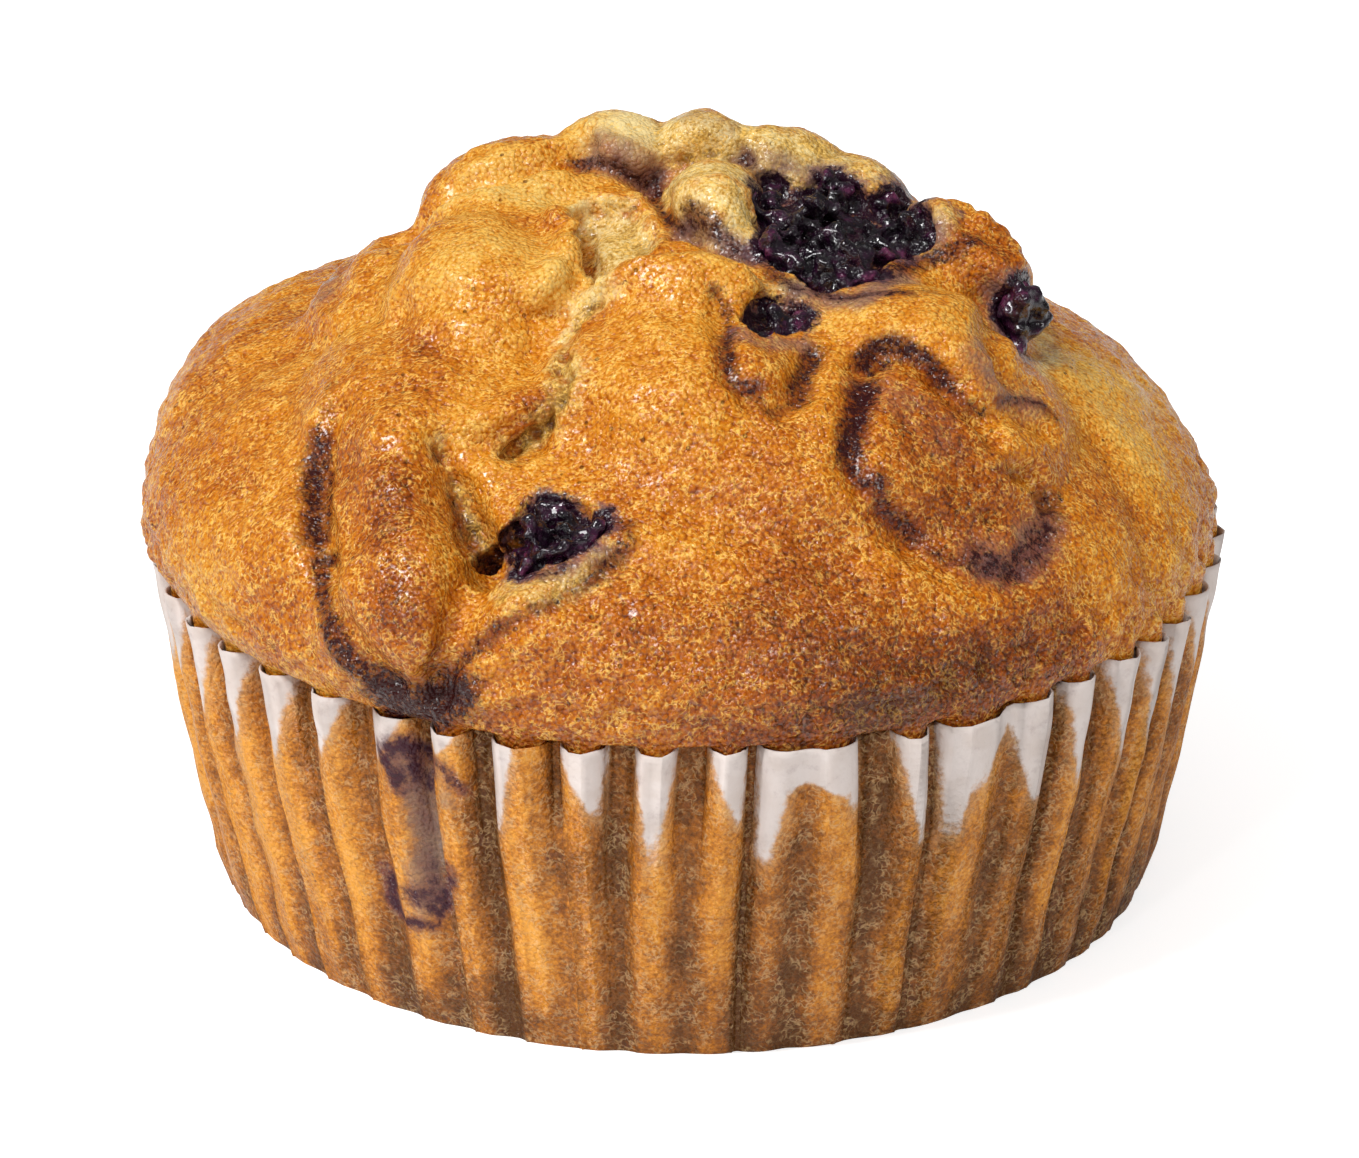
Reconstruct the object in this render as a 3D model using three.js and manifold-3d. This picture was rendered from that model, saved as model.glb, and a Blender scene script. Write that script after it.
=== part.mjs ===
// A berry muffin baked in a pleated paper case, in millimetres, +Z up.
// The origin is the middle of the case's floor, on the face that the muffin stands on, and the front is -Y.
//
//   muffin_body   the cake: a foot that fills the pleats, a shoulder that swells over the rim,
//                 and a lumpy, cracked crown
//   paper_case    the pleated paper: a flat floor and a thin wall whose pleats open towards the rim
//   berry_*       the burst berries, each in its own socket in the crown
//
// Angles go round +Z from the front, positive towards +X.
import * as THREE from "three";
import { mergeVertices } from "three/addons/utils/BufferGeometryUtils.js";
import Module from "manifold-3d";

const wasm = await Module();
wasm.setup();
const radians = THREE.MathUtils.degToRad;
const { lerp, smoothstep } = THREE.MathUtils;

// ---------------------------------------------------------------- driving dimensions
const CASE_HEIGHT = 28;
// The wall's rows, as [radius of the pleats' crowns, height].
const WALL = [[37.8, 0], [39, 3.6], [41.2, 15], [43.2, CASE_HEIGHT]];
const PLEAT_DEPTH_AT_FLOOR = 0.7;
const PLEAT_DEPTH_AT_RIM = 2.6;
const PAPER = 0.35; // thickness of the case
const GAP = 0.3; // clearance between touching pieces

const SHOULDER_RADIUS = 42.9;
const SHOULDER_HEIGHT = 31; // where the cake is widest
const SHOULDER_TILT = radians(1.3); // the left side has risen a little more
const CAKE_FILLS_PLEATS_TO = 14; // above this height the cake draws back from the pleats
const CAKE_LEAVES_PLEATS_AT = 25;

// Lumps of batter that flow together into the crown: where each is, and its half sizes.
const LUMPS = {
  shoulder: { at: [-0.7, 0, SHOULDER_HEIGHT], size: [SHOULDER_RADIUS, SHOULDER_RADIUS, 17.6] },
  leftShoulder: { at: [-17, 4, 34], size: [25.6, 31, 11] },
  leftSlope: { at: [-16, -12, 40], size: [15, 17, 8.6] },
  apron: { at: [6, -11, 40], size: [25, 22, 11.5] },
  mound: { at: [2, 2, 45.5], size: [24, 21, 10] },
  leftFront: { at: [-14.5, -5, 47.5], size: [7.5, 11, 7.8] },
  leftBack: { at: [-12.7, 9.5, 49], size: [9, 9, 8.2] },
  backLeft: { at: [-3, 12, 49.4], size: [9.5, 7.5, 9.4] },
  backRight: { at: [7.5, 11, 49], size: [10.5, 7.5, 9] },
  smallPale: { at: [2.4, -0.5, 53.4], size: [4.4, 5, 5] },
  middle: { at: [0.3, -13.5, 49.4], size: [8.3, 8, 6.9] },
  right: { at: [17, -12, 46.5], size: [9, 8, 6.7] },
  rightRidge: { at: [21, 2.5, 48.5], size: [7, 7.5, 6.6] },
  frontLeft: { at: [-21.5, -29.5, 33.5], size: [7.5, 9, 7.5] },
  front: { at: [-10, -35.5, 34.5], size: [6, 5.5, 5] },
};
const LUMP_BLEND = 0.9; // how softly two lumps flow together

// Cracks and hollows: a path over the crown, how far from it the crust sinks, and how deep.
const CRACKS = {
  main: {
    path: [[-7, -4, 56], [-6.5, -11, 55], [-8.5, -18, 52], [-10.5, -24, 47], [-12.5, -28, 43.5]],
    reach: 3.2,
    deep: 3.2,
  },
  low: { path: [[-12.5, -28, 43.5], [-15, -34, 40], [-17, -39, 35]], reach: 2.8, deep: 1.8 },
  trough: { path: [[-19, -22, 44.5], [-17, -29, 42], [-15, -33, 40]], reach: 3, deep: 1.5 },
  top: { path: [[-9, 8, 56], [-5, 5, 57], [-2, -3, 57], [3, -9, 56.5]], reach: 2.2, deep: 2 },
  besideTopBerry: { path: [[5, 5, 57], [7, -4, 57]], reach: 2.4, deep: 1.8 },
  right: { path: [[24, -9, 50], [26, -14, 47], [26, -19, 44]], reach: 2.6, deep: 1.4 },
};

// Each burst berry: where it sits, its half sizes, and how finely it is faceted.
const BERRIES = {
  berry_top: { at: [11.9, -3.6, 51.9], size: [7, 6.4, 4.7], detail: 4 },
  berry_small: { at: [6.8, -15.8, 51.5], size: [2.5, 2.4, 2.7], detail: 2 },
  berry_right: { at: [26.1, -6.6, 47.3], size: [2.6, 3.5, 3.5], detail: 2 },
  berry_front: { at: [-9.2, -31, 40.2], size: [4.2, 3.5, 4], detail: 3 },
};

// Pleats, as [middle, half width] in degrees. The front ones are uneven, and two are pressed wide and flat.
const FRONT_PLEATS = [
  [-68, 2.3], [-60.5, 2.4], [-53.3, 2.5], [-45.8, 2.6], [-38, 2.6], [-30, 2.7], [-23.6, 2.2],
  [-16.4, 2.9], [-10, 2.4], [-2.9, 2.1], [4, 2], [11.9, 5], [22.4, 2], [32.3, 6.9],
  [43, 2.3], [50.4, 2.6], [56, 2.1], [61.5, 2.2], [69.3, 2.7], [76, 2.4],
];
const BACK_PLEATS = 29;
const BACK_PLEAT_JITTER = 0.9; // degrees

// Vertices across one pleat, as [place in half widths, share of the pleat's depth behind its crown].
const PAPER_STATIONS = [[-1, 1], [-0.72, 0.22], [0, 0], [0.72, 0.22], [1, 1]];
const CAKE_STATIONS = [[-1, 1], [0, 0.25], [1, 1]];

// Rows of vertices up the cake.
const FOOT_ROWS = [3.6, 15, 26]; // heights inside the case
const NECK_ROWS = [[40, 28.4], [41.9, 29.1]]; // radius and height, where the cake turns out over the rim
const CROWN_ROWS = 22;
const COARSE_CROWN_ROWS = 7; // round the top, where one column stands for three
const LOWEST_CROWN_ANGLE = radians(4);
const CORE = new THREE.Vector3(0, 0, 28); // the crown is laid out as directions from here

// ---------------------------------------------------------------- geometry helpers
// An indexed geometry that holds only positions, with no repeated vertex and no collapsed triangle.
function merged(geometry) {
  const plain = geometry.clone();
  plain.deleteAttribute("normal");
  plain.deleteAttribute("uv");
  const result = mergeVertices(plain, 1e-3);
  const { array } = result.index;
  const kept = [];
  for (let i = 0; i < array.length; i += 3) {
    const [a, b, c] = array.slice(i, i + 3);
    if (a !== b && b !== c && c !== a) kept.push(a, b, c);
  }
  result.setIndex(kept);
  return result;
}

// A body of revolution's closed mesh whose vertices are put where place(row, column) says.
function wovenLathe(rows, columns, place) {
  const profile = Array.from({ length: rows }, (_, row) => new THREE.Vector2(1, row));
  const geometry = new THREE.LatheGeometry(profile, columns);
  const position = geometry.attributes.position;
  for (let i = 0; i < position.count; i += 1) {
    const { x, y, z } = place(i % rows, Math.floor(i / rows) % columns);
    position.setXYZ(i, x, y, z);
  }
  return merged(geometry);
}

// The point at a radius, an angle from the front, and a height.
function polar(radius, angle, z) {
  return new THREE.Vector3(radius * Math.sin(angle), -radius * Math.cos(angle), z);
}

function toSolid(geometry) {
  return new wasm.Manifold(
    new wasm.Mesh({
      numProp: 3,
      vertProperties: geometry.attributes.position.array,
      triVerts: new Uint32Array(geometry.index.array),
    }),
  );
}

function toGeometry(solid) {
  const mesh = solid.getMesh();
  const geometry = new THREE.BufferGeometry();
  geometry.setAttribute("position", new THREE.BufferAttribute(mesh.vertProperties, 3));
  geometry.setIndex(new THREE.BufferAttribute(mesh.triVerts, 1));
  return geometry;
}

// A repeatable random number from 0 to 1 for a whole number.
function chance(seed) {
  const s = Math.sin(seed * 127.1 + 11.7) * 43758.5453;
  return s - Math.floor(s);
}

// ---------------------------------------------------------------- pleats
function allPleats() {
  const first = FRONT_PLEATS[0][0] + 360;
  const last = FRONT_PLEATS.at(-1)[0];
  const step = (first - last) / (BACK_PLEATS + 1);
  const back = Array.from({ length: BACK_PLEATS }, (_, i) => {
    const shift = BACK_PLEAT_JITTER * (2 * chance(i + 1) - 1);
    return [last + step * (i + 1) + shift, 2.1 + 0.7 * chance(i + 50)];
  });
  return [...FRONT_PLEATS, ...back];
}

// Every column round the case, from the stations across each pleat.
function pleatColumns(stations) {
  return allPleats().flatMap(([middle, half]) =>
    stations.map(([place, behind]) => ({ angle: radians(middle + place * half), behind })),
  );
}

// Radius of the pleats' crowns at a height, and how far the valleys lie behind them.
function crownRadius(z) {
  const above = Math.max(1, WALL.findIndex(([, top]) => z <= top));
  const [lowRadius, low] = WALL[above - 1];
  const [highRadius, high] = WALL[above];
  return lerp(lowRadius, highRadius, (z - low) / (high - low));
}
function pleatDepth(z) {
  return lerp(PLEAT_DEPTH_AT_FLOOR, PLEAT_DEPTH_AT_RIM, z / CASE_HEIGHT);
}

// ---------------------------------------------------------------- paper case
function paperCase() {
  const inside = WALL.map(([radius, z]) => [radius - PAPER, Math.max(z, PAPER)]).reverse();
  const profile = [[0, 0], ...WALL, ...inside, [0, PAPER]];
  const columns = pleatColumns(PAPER_STATIONS);
  return wovenLathe(profile.length, columns.length, (row, column) => {
    const [radius, z] = profile[row];
    const { angle, behind } = columns[column];
    return radius === 0 ? polar(0, 0, z) : polar(radius - behind * pleatDepth(z), angle, z);
  });
}

// ---------------------------------------------------------------- cake
// About how far a point is outside the crown: negative inside.
function outsideCrown(point) {
  let sum = 0;
  for (const { at, size } of Object.values(LUMPS)) {
    const x = (point.x - at[0]) / size[0];
    const y = (point.y - at[1]) / size[1];
    const z = (point.z - at[2]) / size[2];
    const away = (Math.hypot(x, y, z) - 1) * Math.min(...size);
    sum += Math.exp(-away / LUMP_BLEND);
  }
  return -LUMP_BLEND * Math.log(sum);
}

// How far the crown's surface is from the core in a direction.
function crownReach(direction) {
  const isOutside = (reach) => outsideCrown(CORE.clone().addScaledVector(direction, reach)) > 0;
  const step = 0.6;
  let outer = SHOULDER_RADIUS + 5;
  while (isOutside(outer - step)) outer -= step;
  let inner = outer - step;
  for (let i = 0; i < 10; i += 1) {
    const middle = (inner + outer) / 2;
    if (isOutside(middle)) outer = middle;
    else inner = middle;
  }
  return inner;
}

function distanceToPath(point, path) {
  const corners = path.map((p) => new THREE.Vector3(...p));
  const nearest = new THREE.Vector3();
  const distances = corners.slice(1).map((corner, i) => {
    new THREE.Line3(corners[i], corner).closestPointToPoint(point, true, nearest);
    return nearest.distanceTo(point);
  });
  return Math.min(...distances);
}

// How deep the cracks sink the crust at a point.
function crackDepth(point) {
  const depths = Object.values(CRACKS).map(
    ({ path, reach, deep }) => deep * (1 - smoothstep(distanceToPath(point, path), 0, reach)),
  );
  return depths.reduce((sum, depth) => sum + depth, 0);
}

// A vertex of the crown, in a direction that is up radians above level and angle radians from the front.
function crownPoint(up, angle) {
  const direction = polar(Math.cos(up), angle, Math.sin(up));
  const point = CORE.clone().addScaledVector(direction, crownReach(direction));
  point.addScaledVector(direction, -crackDepth(point));
  point.z -= Math.tan(SHOULDER_TILT) * point.x;
  return point;
}

// The radius of the cake inside the case: it fills the pleats low down, and stays behind them near the rim.
function footRadius(z, behind) {
  const drawnBack = smoothstep(z, CAKE_FILLS_PLEATS_TO, CAKE_LEAVES_PLEATS_AT);
  return crownRadius(z) - PAPER - GAP - lerp(behind, 1, drawnBack) * pleatDepth(z);
}

// Each row of the cake, from the floor up, as a function that places a column's vertex.
function cakeRows(columns) {
  const evenAngle = (column) => columns[0].angle + (2 * Math.PI * column) / columns.length;
  const floor = PAPER + GAP;
  const footPoint = (z, height) => (column) =>
    polar(footRadius(z, columns[column].behind), columns[column].angle, height);
  const rows = [() => polar(0, 0, floor), footPoint(0, floor), ...FOOT_ROWS.map((z) => footPoint(z, z))];
  for (const [radius, z] of NECK_ROWS) {
    rows.push((column) => polar(radius, evenAngle(column), z));
  }
  for (let i = 0; i < CROWN_ROWS; i += 1) {
    const up = lerp(LOWEST_CROWN_ANGLE, Math.PI / 2, i / CROWN_ROWS);
    const coarse = i >= CROWN_ROWS - COARSE_CROWN_ROWS;
    rows.push((column) => crownPoint(up, evenAngle(coarse ? 3 * Math.floor(column / 3) + 1 : column)));
  }
  rows.push(() => crownPoint(Math.PI / 2, 0));
  return rows;
}

function cake() {
  const columns = pleatColumns(CAKE_STATIONS);
  const rows = cakeRows(columns);
  return wovenLathe(rows.length, columns.length, (row, column) => rows[row](column));
}

// ---------------------------------------------------------------- berries
// A lumpy ball of pulp. grow makes it larger all round, for its socket.
function berry({ at, size, detail }, grow) {
  const ball = merged(new THREE.IcosahedronGeometry(1, detail));
  const position = ball.attributes.position;
  const p = new THREE.Vector3();
  for (let i = 0; i < position.count; i += 1) {
    p.fromBufferAttribute(position, i);
    const lumps = 1 + 0.06 * Math.sin(5 * p.x + 3 * p.z) + 0.06 * Math.sin(6 * p.y - 4 * p.x);
    const [x, y, z] = size.map((half, axis) => p.getComponent(axis) * (half * lumps + grow));
    position.setXYZ(i, at[0] + x, at[1] + y, at[2] + z);
  }
  return ball;
}

// ---------------------------------------------------------------- the object
const CRUST = { color: 0xc5822f, roughness: 0.5 };
const BAKED_PAPER = { color: 0xd2b08a, roughness: 0.6 };
const PULP = { color: 0x1e0f24, roughness: 0.2 };

function node(name, geometry, finish) {
  geometry.computeVertexNormals();
  const mesh = new THREE.Mesh(geometry, new THREE.MeshStandardMaterial({ ...finish, metalness: 0 }));
  mesh.name = name;
  return mesh;
}

function cakeWithSockets() {
  const sockets = Object.values(BERRIES).map((shape) => toSolid(berry(shape, GAP)));
  return toGeometry(sockets.reduce((body, socket) => body.subtract(socket), toSolid(cake())));
}

const muffin = new THREE.Group();
muffin.add(node("muffin_body", cakeWithSockets(), CRUST));
muffin.add(node("paper_case", paperCase(), BAKED_PAPER));
for (const [name, shape] of Object.entries(BERRIES)) {
  muffin.add(node(name, berry(shape, 0), PULP));
}

export default muffin;
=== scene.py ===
# %% [markdown]
# # A berry muffin in its pleated paper case
#
# A muffin is three things at once: a lumpy cake that tore open as it rose, wet berries that burst and ran,
# and a thin paper cup that the batter glued itself to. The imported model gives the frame, the sizes and the
# place of every piece. This lesson builds the pieces that are seen over that model, one after another, and
# then gives each its finish.

# %% The tools and the frame
import math
import random
import time
from collections import namedtuple

import bpy
import numpy as np
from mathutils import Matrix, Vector, noise
from mathutils.bvhtree import BVHTree
from mathutils.kdtree import KDTree


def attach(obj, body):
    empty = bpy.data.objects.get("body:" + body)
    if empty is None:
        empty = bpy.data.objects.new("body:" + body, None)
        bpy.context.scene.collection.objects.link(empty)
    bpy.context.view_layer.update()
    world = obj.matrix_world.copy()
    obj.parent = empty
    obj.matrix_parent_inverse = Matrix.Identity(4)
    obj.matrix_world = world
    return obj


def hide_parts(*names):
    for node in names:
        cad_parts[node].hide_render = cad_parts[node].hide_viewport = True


MM = 0.001
START = time.time()
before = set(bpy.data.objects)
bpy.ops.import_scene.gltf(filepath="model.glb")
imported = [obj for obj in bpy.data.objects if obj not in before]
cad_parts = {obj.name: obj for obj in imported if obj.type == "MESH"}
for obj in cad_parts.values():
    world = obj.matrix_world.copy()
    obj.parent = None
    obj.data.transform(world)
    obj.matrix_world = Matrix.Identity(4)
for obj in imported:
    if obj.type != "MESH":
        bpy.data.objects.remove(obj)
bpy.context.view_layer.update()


def done(what):
    """Prints what a step has made, and how long the script has run so far."""
    print(f"[{time.time() - START:5.1f} s] {what}")


done(f"frame with the nodes {sorted(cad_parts)}")

# %% [markdown]
# ## The camera
#
# A long lens from half a metre away, tipped down a little, shows the crown and the front of the case alike.
# A camera looks along its own -Z. Turned 90 degrees about X it looks level along +Y, and a smaller turn
# tips it down.

# %% Camera
FRAME_WIDTH = 1359
FOCAL_PIXELS = 6782
LOOK_DOWN = math.radians(24.34)
LOOK_ASIDE = math.radians(0.03)
CAMERA_AT = Vector((-0.3, -500, 249.4)) * MM

camera_data = bpy.data.cameras.new("camera")
camera_data.sensor_width = 36
camera_data.lens = FOCAL_PIXELS * camera_data.sensor_width / FRAME_WIDTH
camera_data.clip_start = 0.01
camera = bpy.data.objects.new("camera", camera_data)
bpy.context.scene.collection.objects.link(camera)
camera.location = CAMERA_AT
camera.rotation_euler = (math.pi / 2 - LOOK_DOWN, 0, LOOK_ASIDE)
bpy.context.scene.camera = camera
done(f"camera with a {camera_data.lens:.1f} mm lens")

# %% [markdown]
# ## Working by hand, in code
#
# An operator acts on whatever is selected, so each helper first deselects everything and then selects the
# piece that it works on. A modifier is added, set and applied in one go, as a sculptor finishes one stroke
# before the next.


# %% Helpers for objects
def select_only(*pieces):
    """Selects these pieces alone, in object mode, with the last one active."""
    if bpy.context.object and bpy.context.object.mode != "OBJECT":
        bpy.ops.object.mode_set(mode="OBJECT")
    bpy.ops.object.select_all(action="DESELECT")
    for piece in pieces:
        piece.select_set(True)
    bpy.context.view_layer.objects.active = pieces[-1]


def settle(piece, name):
    """Puts a piece's place, turn and size into its mesh, and names both."""
    select_only(piece)
    bpy.ops.object.transform_apply(location=True, rotation=True, scale=True)
    piece.name = piece.data.name = name
    return piece


def joined(pieces, name):
    """Joins several pieces into one."""
    select_only(*pieces)
    bpy.ops.object.join()
    piece = bpy.context.object
    piece.name = piece.data.name = name
    return piece


def modify(piece, kind, **settings):
    """Adds one modifier, sets it and applies it."""
    select_only(piece)
    modifier = piece.modifiers.new(kind.lower(), kind)
    for setting, value in settings.items():
        setattr(modifier, setting, value)
    bpy.ops.object.modifier_apply(modifier=modifier.name)
    return piece


def melt(piece, voxel, smoothing=0):
    """Melts a heap of overlapping closed shapes into one skin, and softens it."""
    modify(piece, "REMESH", mode="VOXEL", voxel_size=voxel * MM)
    if smoothing:
        modify(piece, "SMOOTH", factor=0.5, iterations=smoothing)
    return piece


def cut(piece, cutter, operation="DIFFERENCE"):
    """Takes one closed shape out of another, or joins the two, and drops the tool."""
    modify(piece, "BOOLEAN", operation=operation, solver="MANIFOLD", object=cutter)
    bpy.data.objects.remove(cutter)
    return piece


def ball(at, size, rings=12, name="ball", turn=(0, 0, 0)):
    """A ball or egg with its middle at a point and these half sizes, in millimetres."""
    bpy.ops.object.select_all(action="DESELECT")
    bpy.ops.mesh.primitive_uv_sphere_add(segments=2 * rings, ring_count=rings, radius=1,
                                         location=Vector(at) * MM, scale=Vector(size) * MM, rotation=turn)
    return settle(bpy.context.object, name)


# %% [markdown]
# A soft brush is a vertex group: each point's weight says how much of a Displace modifier it takes. Here
# the weights come from how far each point is from a path, so a crease or a swelling is one short list of
# points.

# %% Helpers for brushes
BRUSH_LEVELS = 40


def points_of(piece):
    """Every point of a piece, in millimetres."""
    flat = np.empty(3 * len(piece.data.vertices), np.float32)
    piece.data.vertices.foreach_get("co", flat)
    return flat.reshape(-1, 3).astype(float) / MM


def distance_to(points, path):
    """How far each point is from a path, in millimetres."""
    path = np.array(path, float)
    if len(path) == 0:
        return np.full(len(points), 1e9)
    if len(path) == 1:
        return np.linalg.norm(points - path[0], axis=1)
    nearest = np.full(len(points), 1e9)
    for start, end in zip(path, path[1:]):
        along = end - start
        part = np.clip((points - start) @ along / (along @ along), 0, 1)
        nearest = np.minimum(nearest, np.linalg.norm(points - start - part[:, None] * along, axis=1))
    return nearest


def gap_to(points, spots, limit):
    """How far each point is from the nearest of many spots, up to a limit, in millimetres."""
    spots = np.array(spots, float)
    tree = KDTree(len(spots))
    for index, spot in enumerate(spots):
        tree.insert(spot, index)
    tree.balance()
    gaps = np.full(len(points), float(limit))
    low, high = spots.min(axis=0) - limit, spots.max(axis=0) + limit
    for index in np.flatnonzero(((points > low) & (points < high)).all(axis=1)):
        gaps[index] = min(limit, tree.find(points[index])[2])
    return gaps


def soft(distance, reach):
    """A weight that fades from 1 on a path to 0 at its reach."""
    return np.clip(1 - (distance / reach) ** 2, 0, 1) ** 2


def brush(piece, weights, height, texture=None, mid_level=0):
    """Pushes a piece's surface out or in by a height in millimetres, as much as the weights say."""
    group = piece.vertex_groups.new(name="brush")
    levels = np.round(np.clip(weights, 0, 1) * BRUSH_LEVELS).astype(int)
    for level in range(1, BRUSH_LEVELS + 1):
        members = np.flatnonzero(levels == level)
        if len(members):
            group.add(members.tolist(), level / BRUSH_LEVELS, "REPLACE")
    modify(piece, "DISPLACE", strength=height * MM, mid_level=mid_level, vertex_group="brush",
           texture=texture, texture_coords="LOCAL")
    piece.vertex_groups.clear()
    return piece


def cloud(name, size, kind="CLOUDS", **settings):
    """A procedural texture with features of about this size in millimetres, for Displace."""
    texture = bpy.data.textures.new(name, kind)
    texture.noise_scale = size * MM
    for setting, value in settings.items():
        setattr(texture, setting, value)
    return texture


# %% [markdown]
# Marks such as where juice has run are given as places in the camera's frame.
# A ray from the camera through that place finds the point of the surface that carries the mark.

# %% Points that the camera sees
FRAME_MIDDLE = (679.5, 579)
PIXELS_PER_MM = 12.4


def tree_of(piece):
    """A search tree of a piece's faces."""
    places = [vertex.co for vertex in piece.data.vertices]
    return BVHTree.FromPolygons(places, [face.vertices for face in piece.data.polygons])


def hit_at(tree, across, down):
    """The point, in millimetres, and the outward direction of the surface at one place of the frame."""
    to_right = (across - FRAME_MIDDLE[0]) / FOCAL_PIXELS
    to_top = (FRAME_MIDDLE[1] - down) / FOCAL_PIXELS
    direction = camera.rotation_euler.to_matrix() @ Vector((to_right, to_top, -1))
    point, normal, _, _ = tree.ray_cast(camera.location, direction)
    if point is None:
        return None
    return point / MM, normal if normal.dot(direction) < 0 else -normal


def seen(tree, path):
    """The points of a surface, in millimetres, that the camera sees at these places of its frame."""
    hits = [hit_at(tree, *place) for place in path]
    return [tuple(hit[0]) for hit in hits if hit]


def inside(across, down, outline):
    """Whether a place of the frame is inside an outline."""
    crossings = 0
    for (x1, y1), (x2, y2) in zip(outline, outline[1:] + outline[:1]):
        if (y1 > down) != (y2 > down) and across < x1 + (down - y1) * (x2 - x1) / (y2 - y1):
            crossings += 1
    return crossings % 2 == 1


def well_inside(across, down, outline, margin):
    """Whether a place is inside an outline, and further from it than a margin in millimetres."""
    reach = margin * PIXELS_PER_MM
    turns = [math.radians(45 * step) for step in range(8)]
    return inside(across, down, outline) and all(
        inside(across + reach * math.cos(turn), down + reach * math.sin(turn), outline) for turn in turns)


rng = random.Random(5)


def spread(tree, outline, spacing, margin=0.0):
    """Points and outward directions, scattered evenly over what this outline in the frame holds."""
    step = spacing * PIXELS_PER_MM
    (left, top), (right, bottom) = np.min(outline, axis=0), np.max(outline, axis=0)
    found = []
    for down in np.arange(top, bottom, 0.7 * step):
        for across in np.arange(left, right, step):
            place = (across + rng.uniform(-0.3, 0.3) * step, down + rng.uniform(-0.2, 0.2) * step)
            hit = hit_at(tree, *place) if well_inside(*place, outline, margin) else None
            if hit:
                found.append(hit)
    return found


# %% [markdown]
# ## The paper case
#
# A muffin case is one disc of greaseproof paper pressed into pleats. At the rim each pleat is a free
# U-shaped fold, and lower down the batter has pushed it out into a soft wave. The wall is drawn up from a
# circle, row by row, and each point is then moved to where its pleat wants it. One ring of points for each
# height keeps the folds running from rim to floor, which no sculpting would.

# %% Pleats
# The middle and half the width of each pleat across the front, in degrees from the front to the right.
FRONT_PLEATS = [
    (-68, 2.3), (-60.5, 2.4), (-53.3, 2.5), (-45.8, 2.6), (-38, 2.6), (-30, 2.7), (-23.6, 2.2), (-16.4, 2.9),
    (-10, 2.4), (-2.9, 2.1), (4, 2), (11.9, 5), (22.4, 2), (32.3, 6.9), (43, 2.3), (50.4, 2.6), (56, 2.1),
    (61.5, 2.2), (69.3, 2.7), (76, 2.4),
]
BACK_PLEATS = 29
BACK_WANDER = 0.9  # how far a pleat at the back may lie from its even place, in degrees


def chance(seed):
    """A repeatable number from 0 to 1."""
    return math.sin(seed * 127.1 + 11.7) * 43758.5453 % 1


pleats = list(FRONT_PLEATS)
back_step = (360 + FRONT_PLEATS[0][0] - FRONT_PLEATS[-1][0]) / (BACK_PLEATS + 1)
for count in range(1, BACK_PLEATS + 1):
    middle = FRONT_PLEATS[-1][0] + count * back_step + BACK_WANDER * (2 * chance(count) - 1)
    pleats.append((middle, 2.1 + 0.7 * chance(count + 49)))
done(f"{len(pleats)} pleats")

# %% Columns and rows of the wall
CASE_HEIGHT = 28
# The valley after each of these pleats: how far its foot leans round the case, in degrees, and its share of
# the usual depth.
VALLEYS = {
    6: (0, 1.3), 7: (0, 0.3), 8: (-0.9, 1.2), 9: (-1.1, 0.7), 10: (-0.6, 1.25), 11: (1.0, 1.1),
    12: (1.0, 0.9), 13: (1.0, 1.0),
}
# Two wide pleats are each a pair of folds pulled nearly flat. The old fold between the pair still shows as a
# dip: its depth, its place across the pleat, and the share of that depth that is left at the rim.
OLD_FOLDS = {11: (0.7, -0.05, 0.2), 13: (0.62, 0.2, 0.95)}
# Each column of the case: its angle, its place across its pleat, the pleat's number (or -1 in a valley), how
# far it is from the crest (0) to the middle of the valley (1), how deep that valley is and how far it leans.
Column = namedtuple("Column", "angle across pleat to_middle depth lean")
NARROW_ACROSS = [-1, -0.985, -0.93, -0.83, -0.68, -0.46, -0.2, 0.05, 0.3, 0.55, 0.75, 0.88, 0.96, 1]
WIDE_ACROSS = [-1, -0.99, -0.965, -0.92, -0.85, -0.75] + [-0.63 + 0.126 * step for step in range(11)] + [
    0.75, 0.85, 0.92, 0.965, 0.99, 1]
VALLEY_STEPS = (0.15, 0.3, 0.5, 0.7, 0.85)
columns = []
for number, (middle, half) in enumerate(pleats):
    next_middle, next_half = pleats[(number + 1) % len(pleats)]
    last_middle, last_half = pleats[number - 1]
    valley = (next_middle - next_half - middle - half) % 360
    last_valley = (middle - half - last_middle - last_half) % 360
    lean, depth = VALLEYS.get(number, (0, 1))
    last_lean, last_depth = VALLEYS.get(number - 1, (0, 1))
    for across in WIDE_ACROSS if number in OLD_FOLDS else NARROW_ACROSS:
        angle = math.radians(middle + across * half)
        side_valley, side_depth = (valley, depth) if across > 0 else (last_valley, last_depth)
        to_middle = abs(across) * half / (half + side_valley / 2)
        side_lean = last_lean + (lean - last_lean) * (across + 1) / 2
        columns.append(Column(angle, across, number, to_middle, side_depth, side_lean))
    for part in VALLEY_STEPS:
        angle = math.radians(middle + half + part * valley)
        if part <= 0.5:
            to_middle = (half + part * valley) / (half + valley / 2)
        else:
            to_middle = (next_half + (1 - part) * valley) / (next_half + valley / 2)
        columns.append(Column(angle, 1 if part <= 0.5 else -1, -1, to_middle, depth, lean))
LOW_ROWS = [0, 0.12, 0.5, 1.1, 1.8, 2.7, 3.6]
rows = LOW_ROWS + list(np.arange(4.6, 16.5, 1.0)) + list(np.arange(17.2, 27.9, 0.6)) + [CASE_HEIGHT]
done(f"{len(columns)} columns and {len(rows)} rows of paper")

# %% [markdown]
# A fold of stiff paper is round on its crest and falls away steeply at its sides. Lower down the batter has
# filled it, and only a soft wave is left. Bend modifiers can't turn one into the other, so a formula blends
# the free fold's U into the wave by height, and adds what each pleat has of its own.

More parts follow.
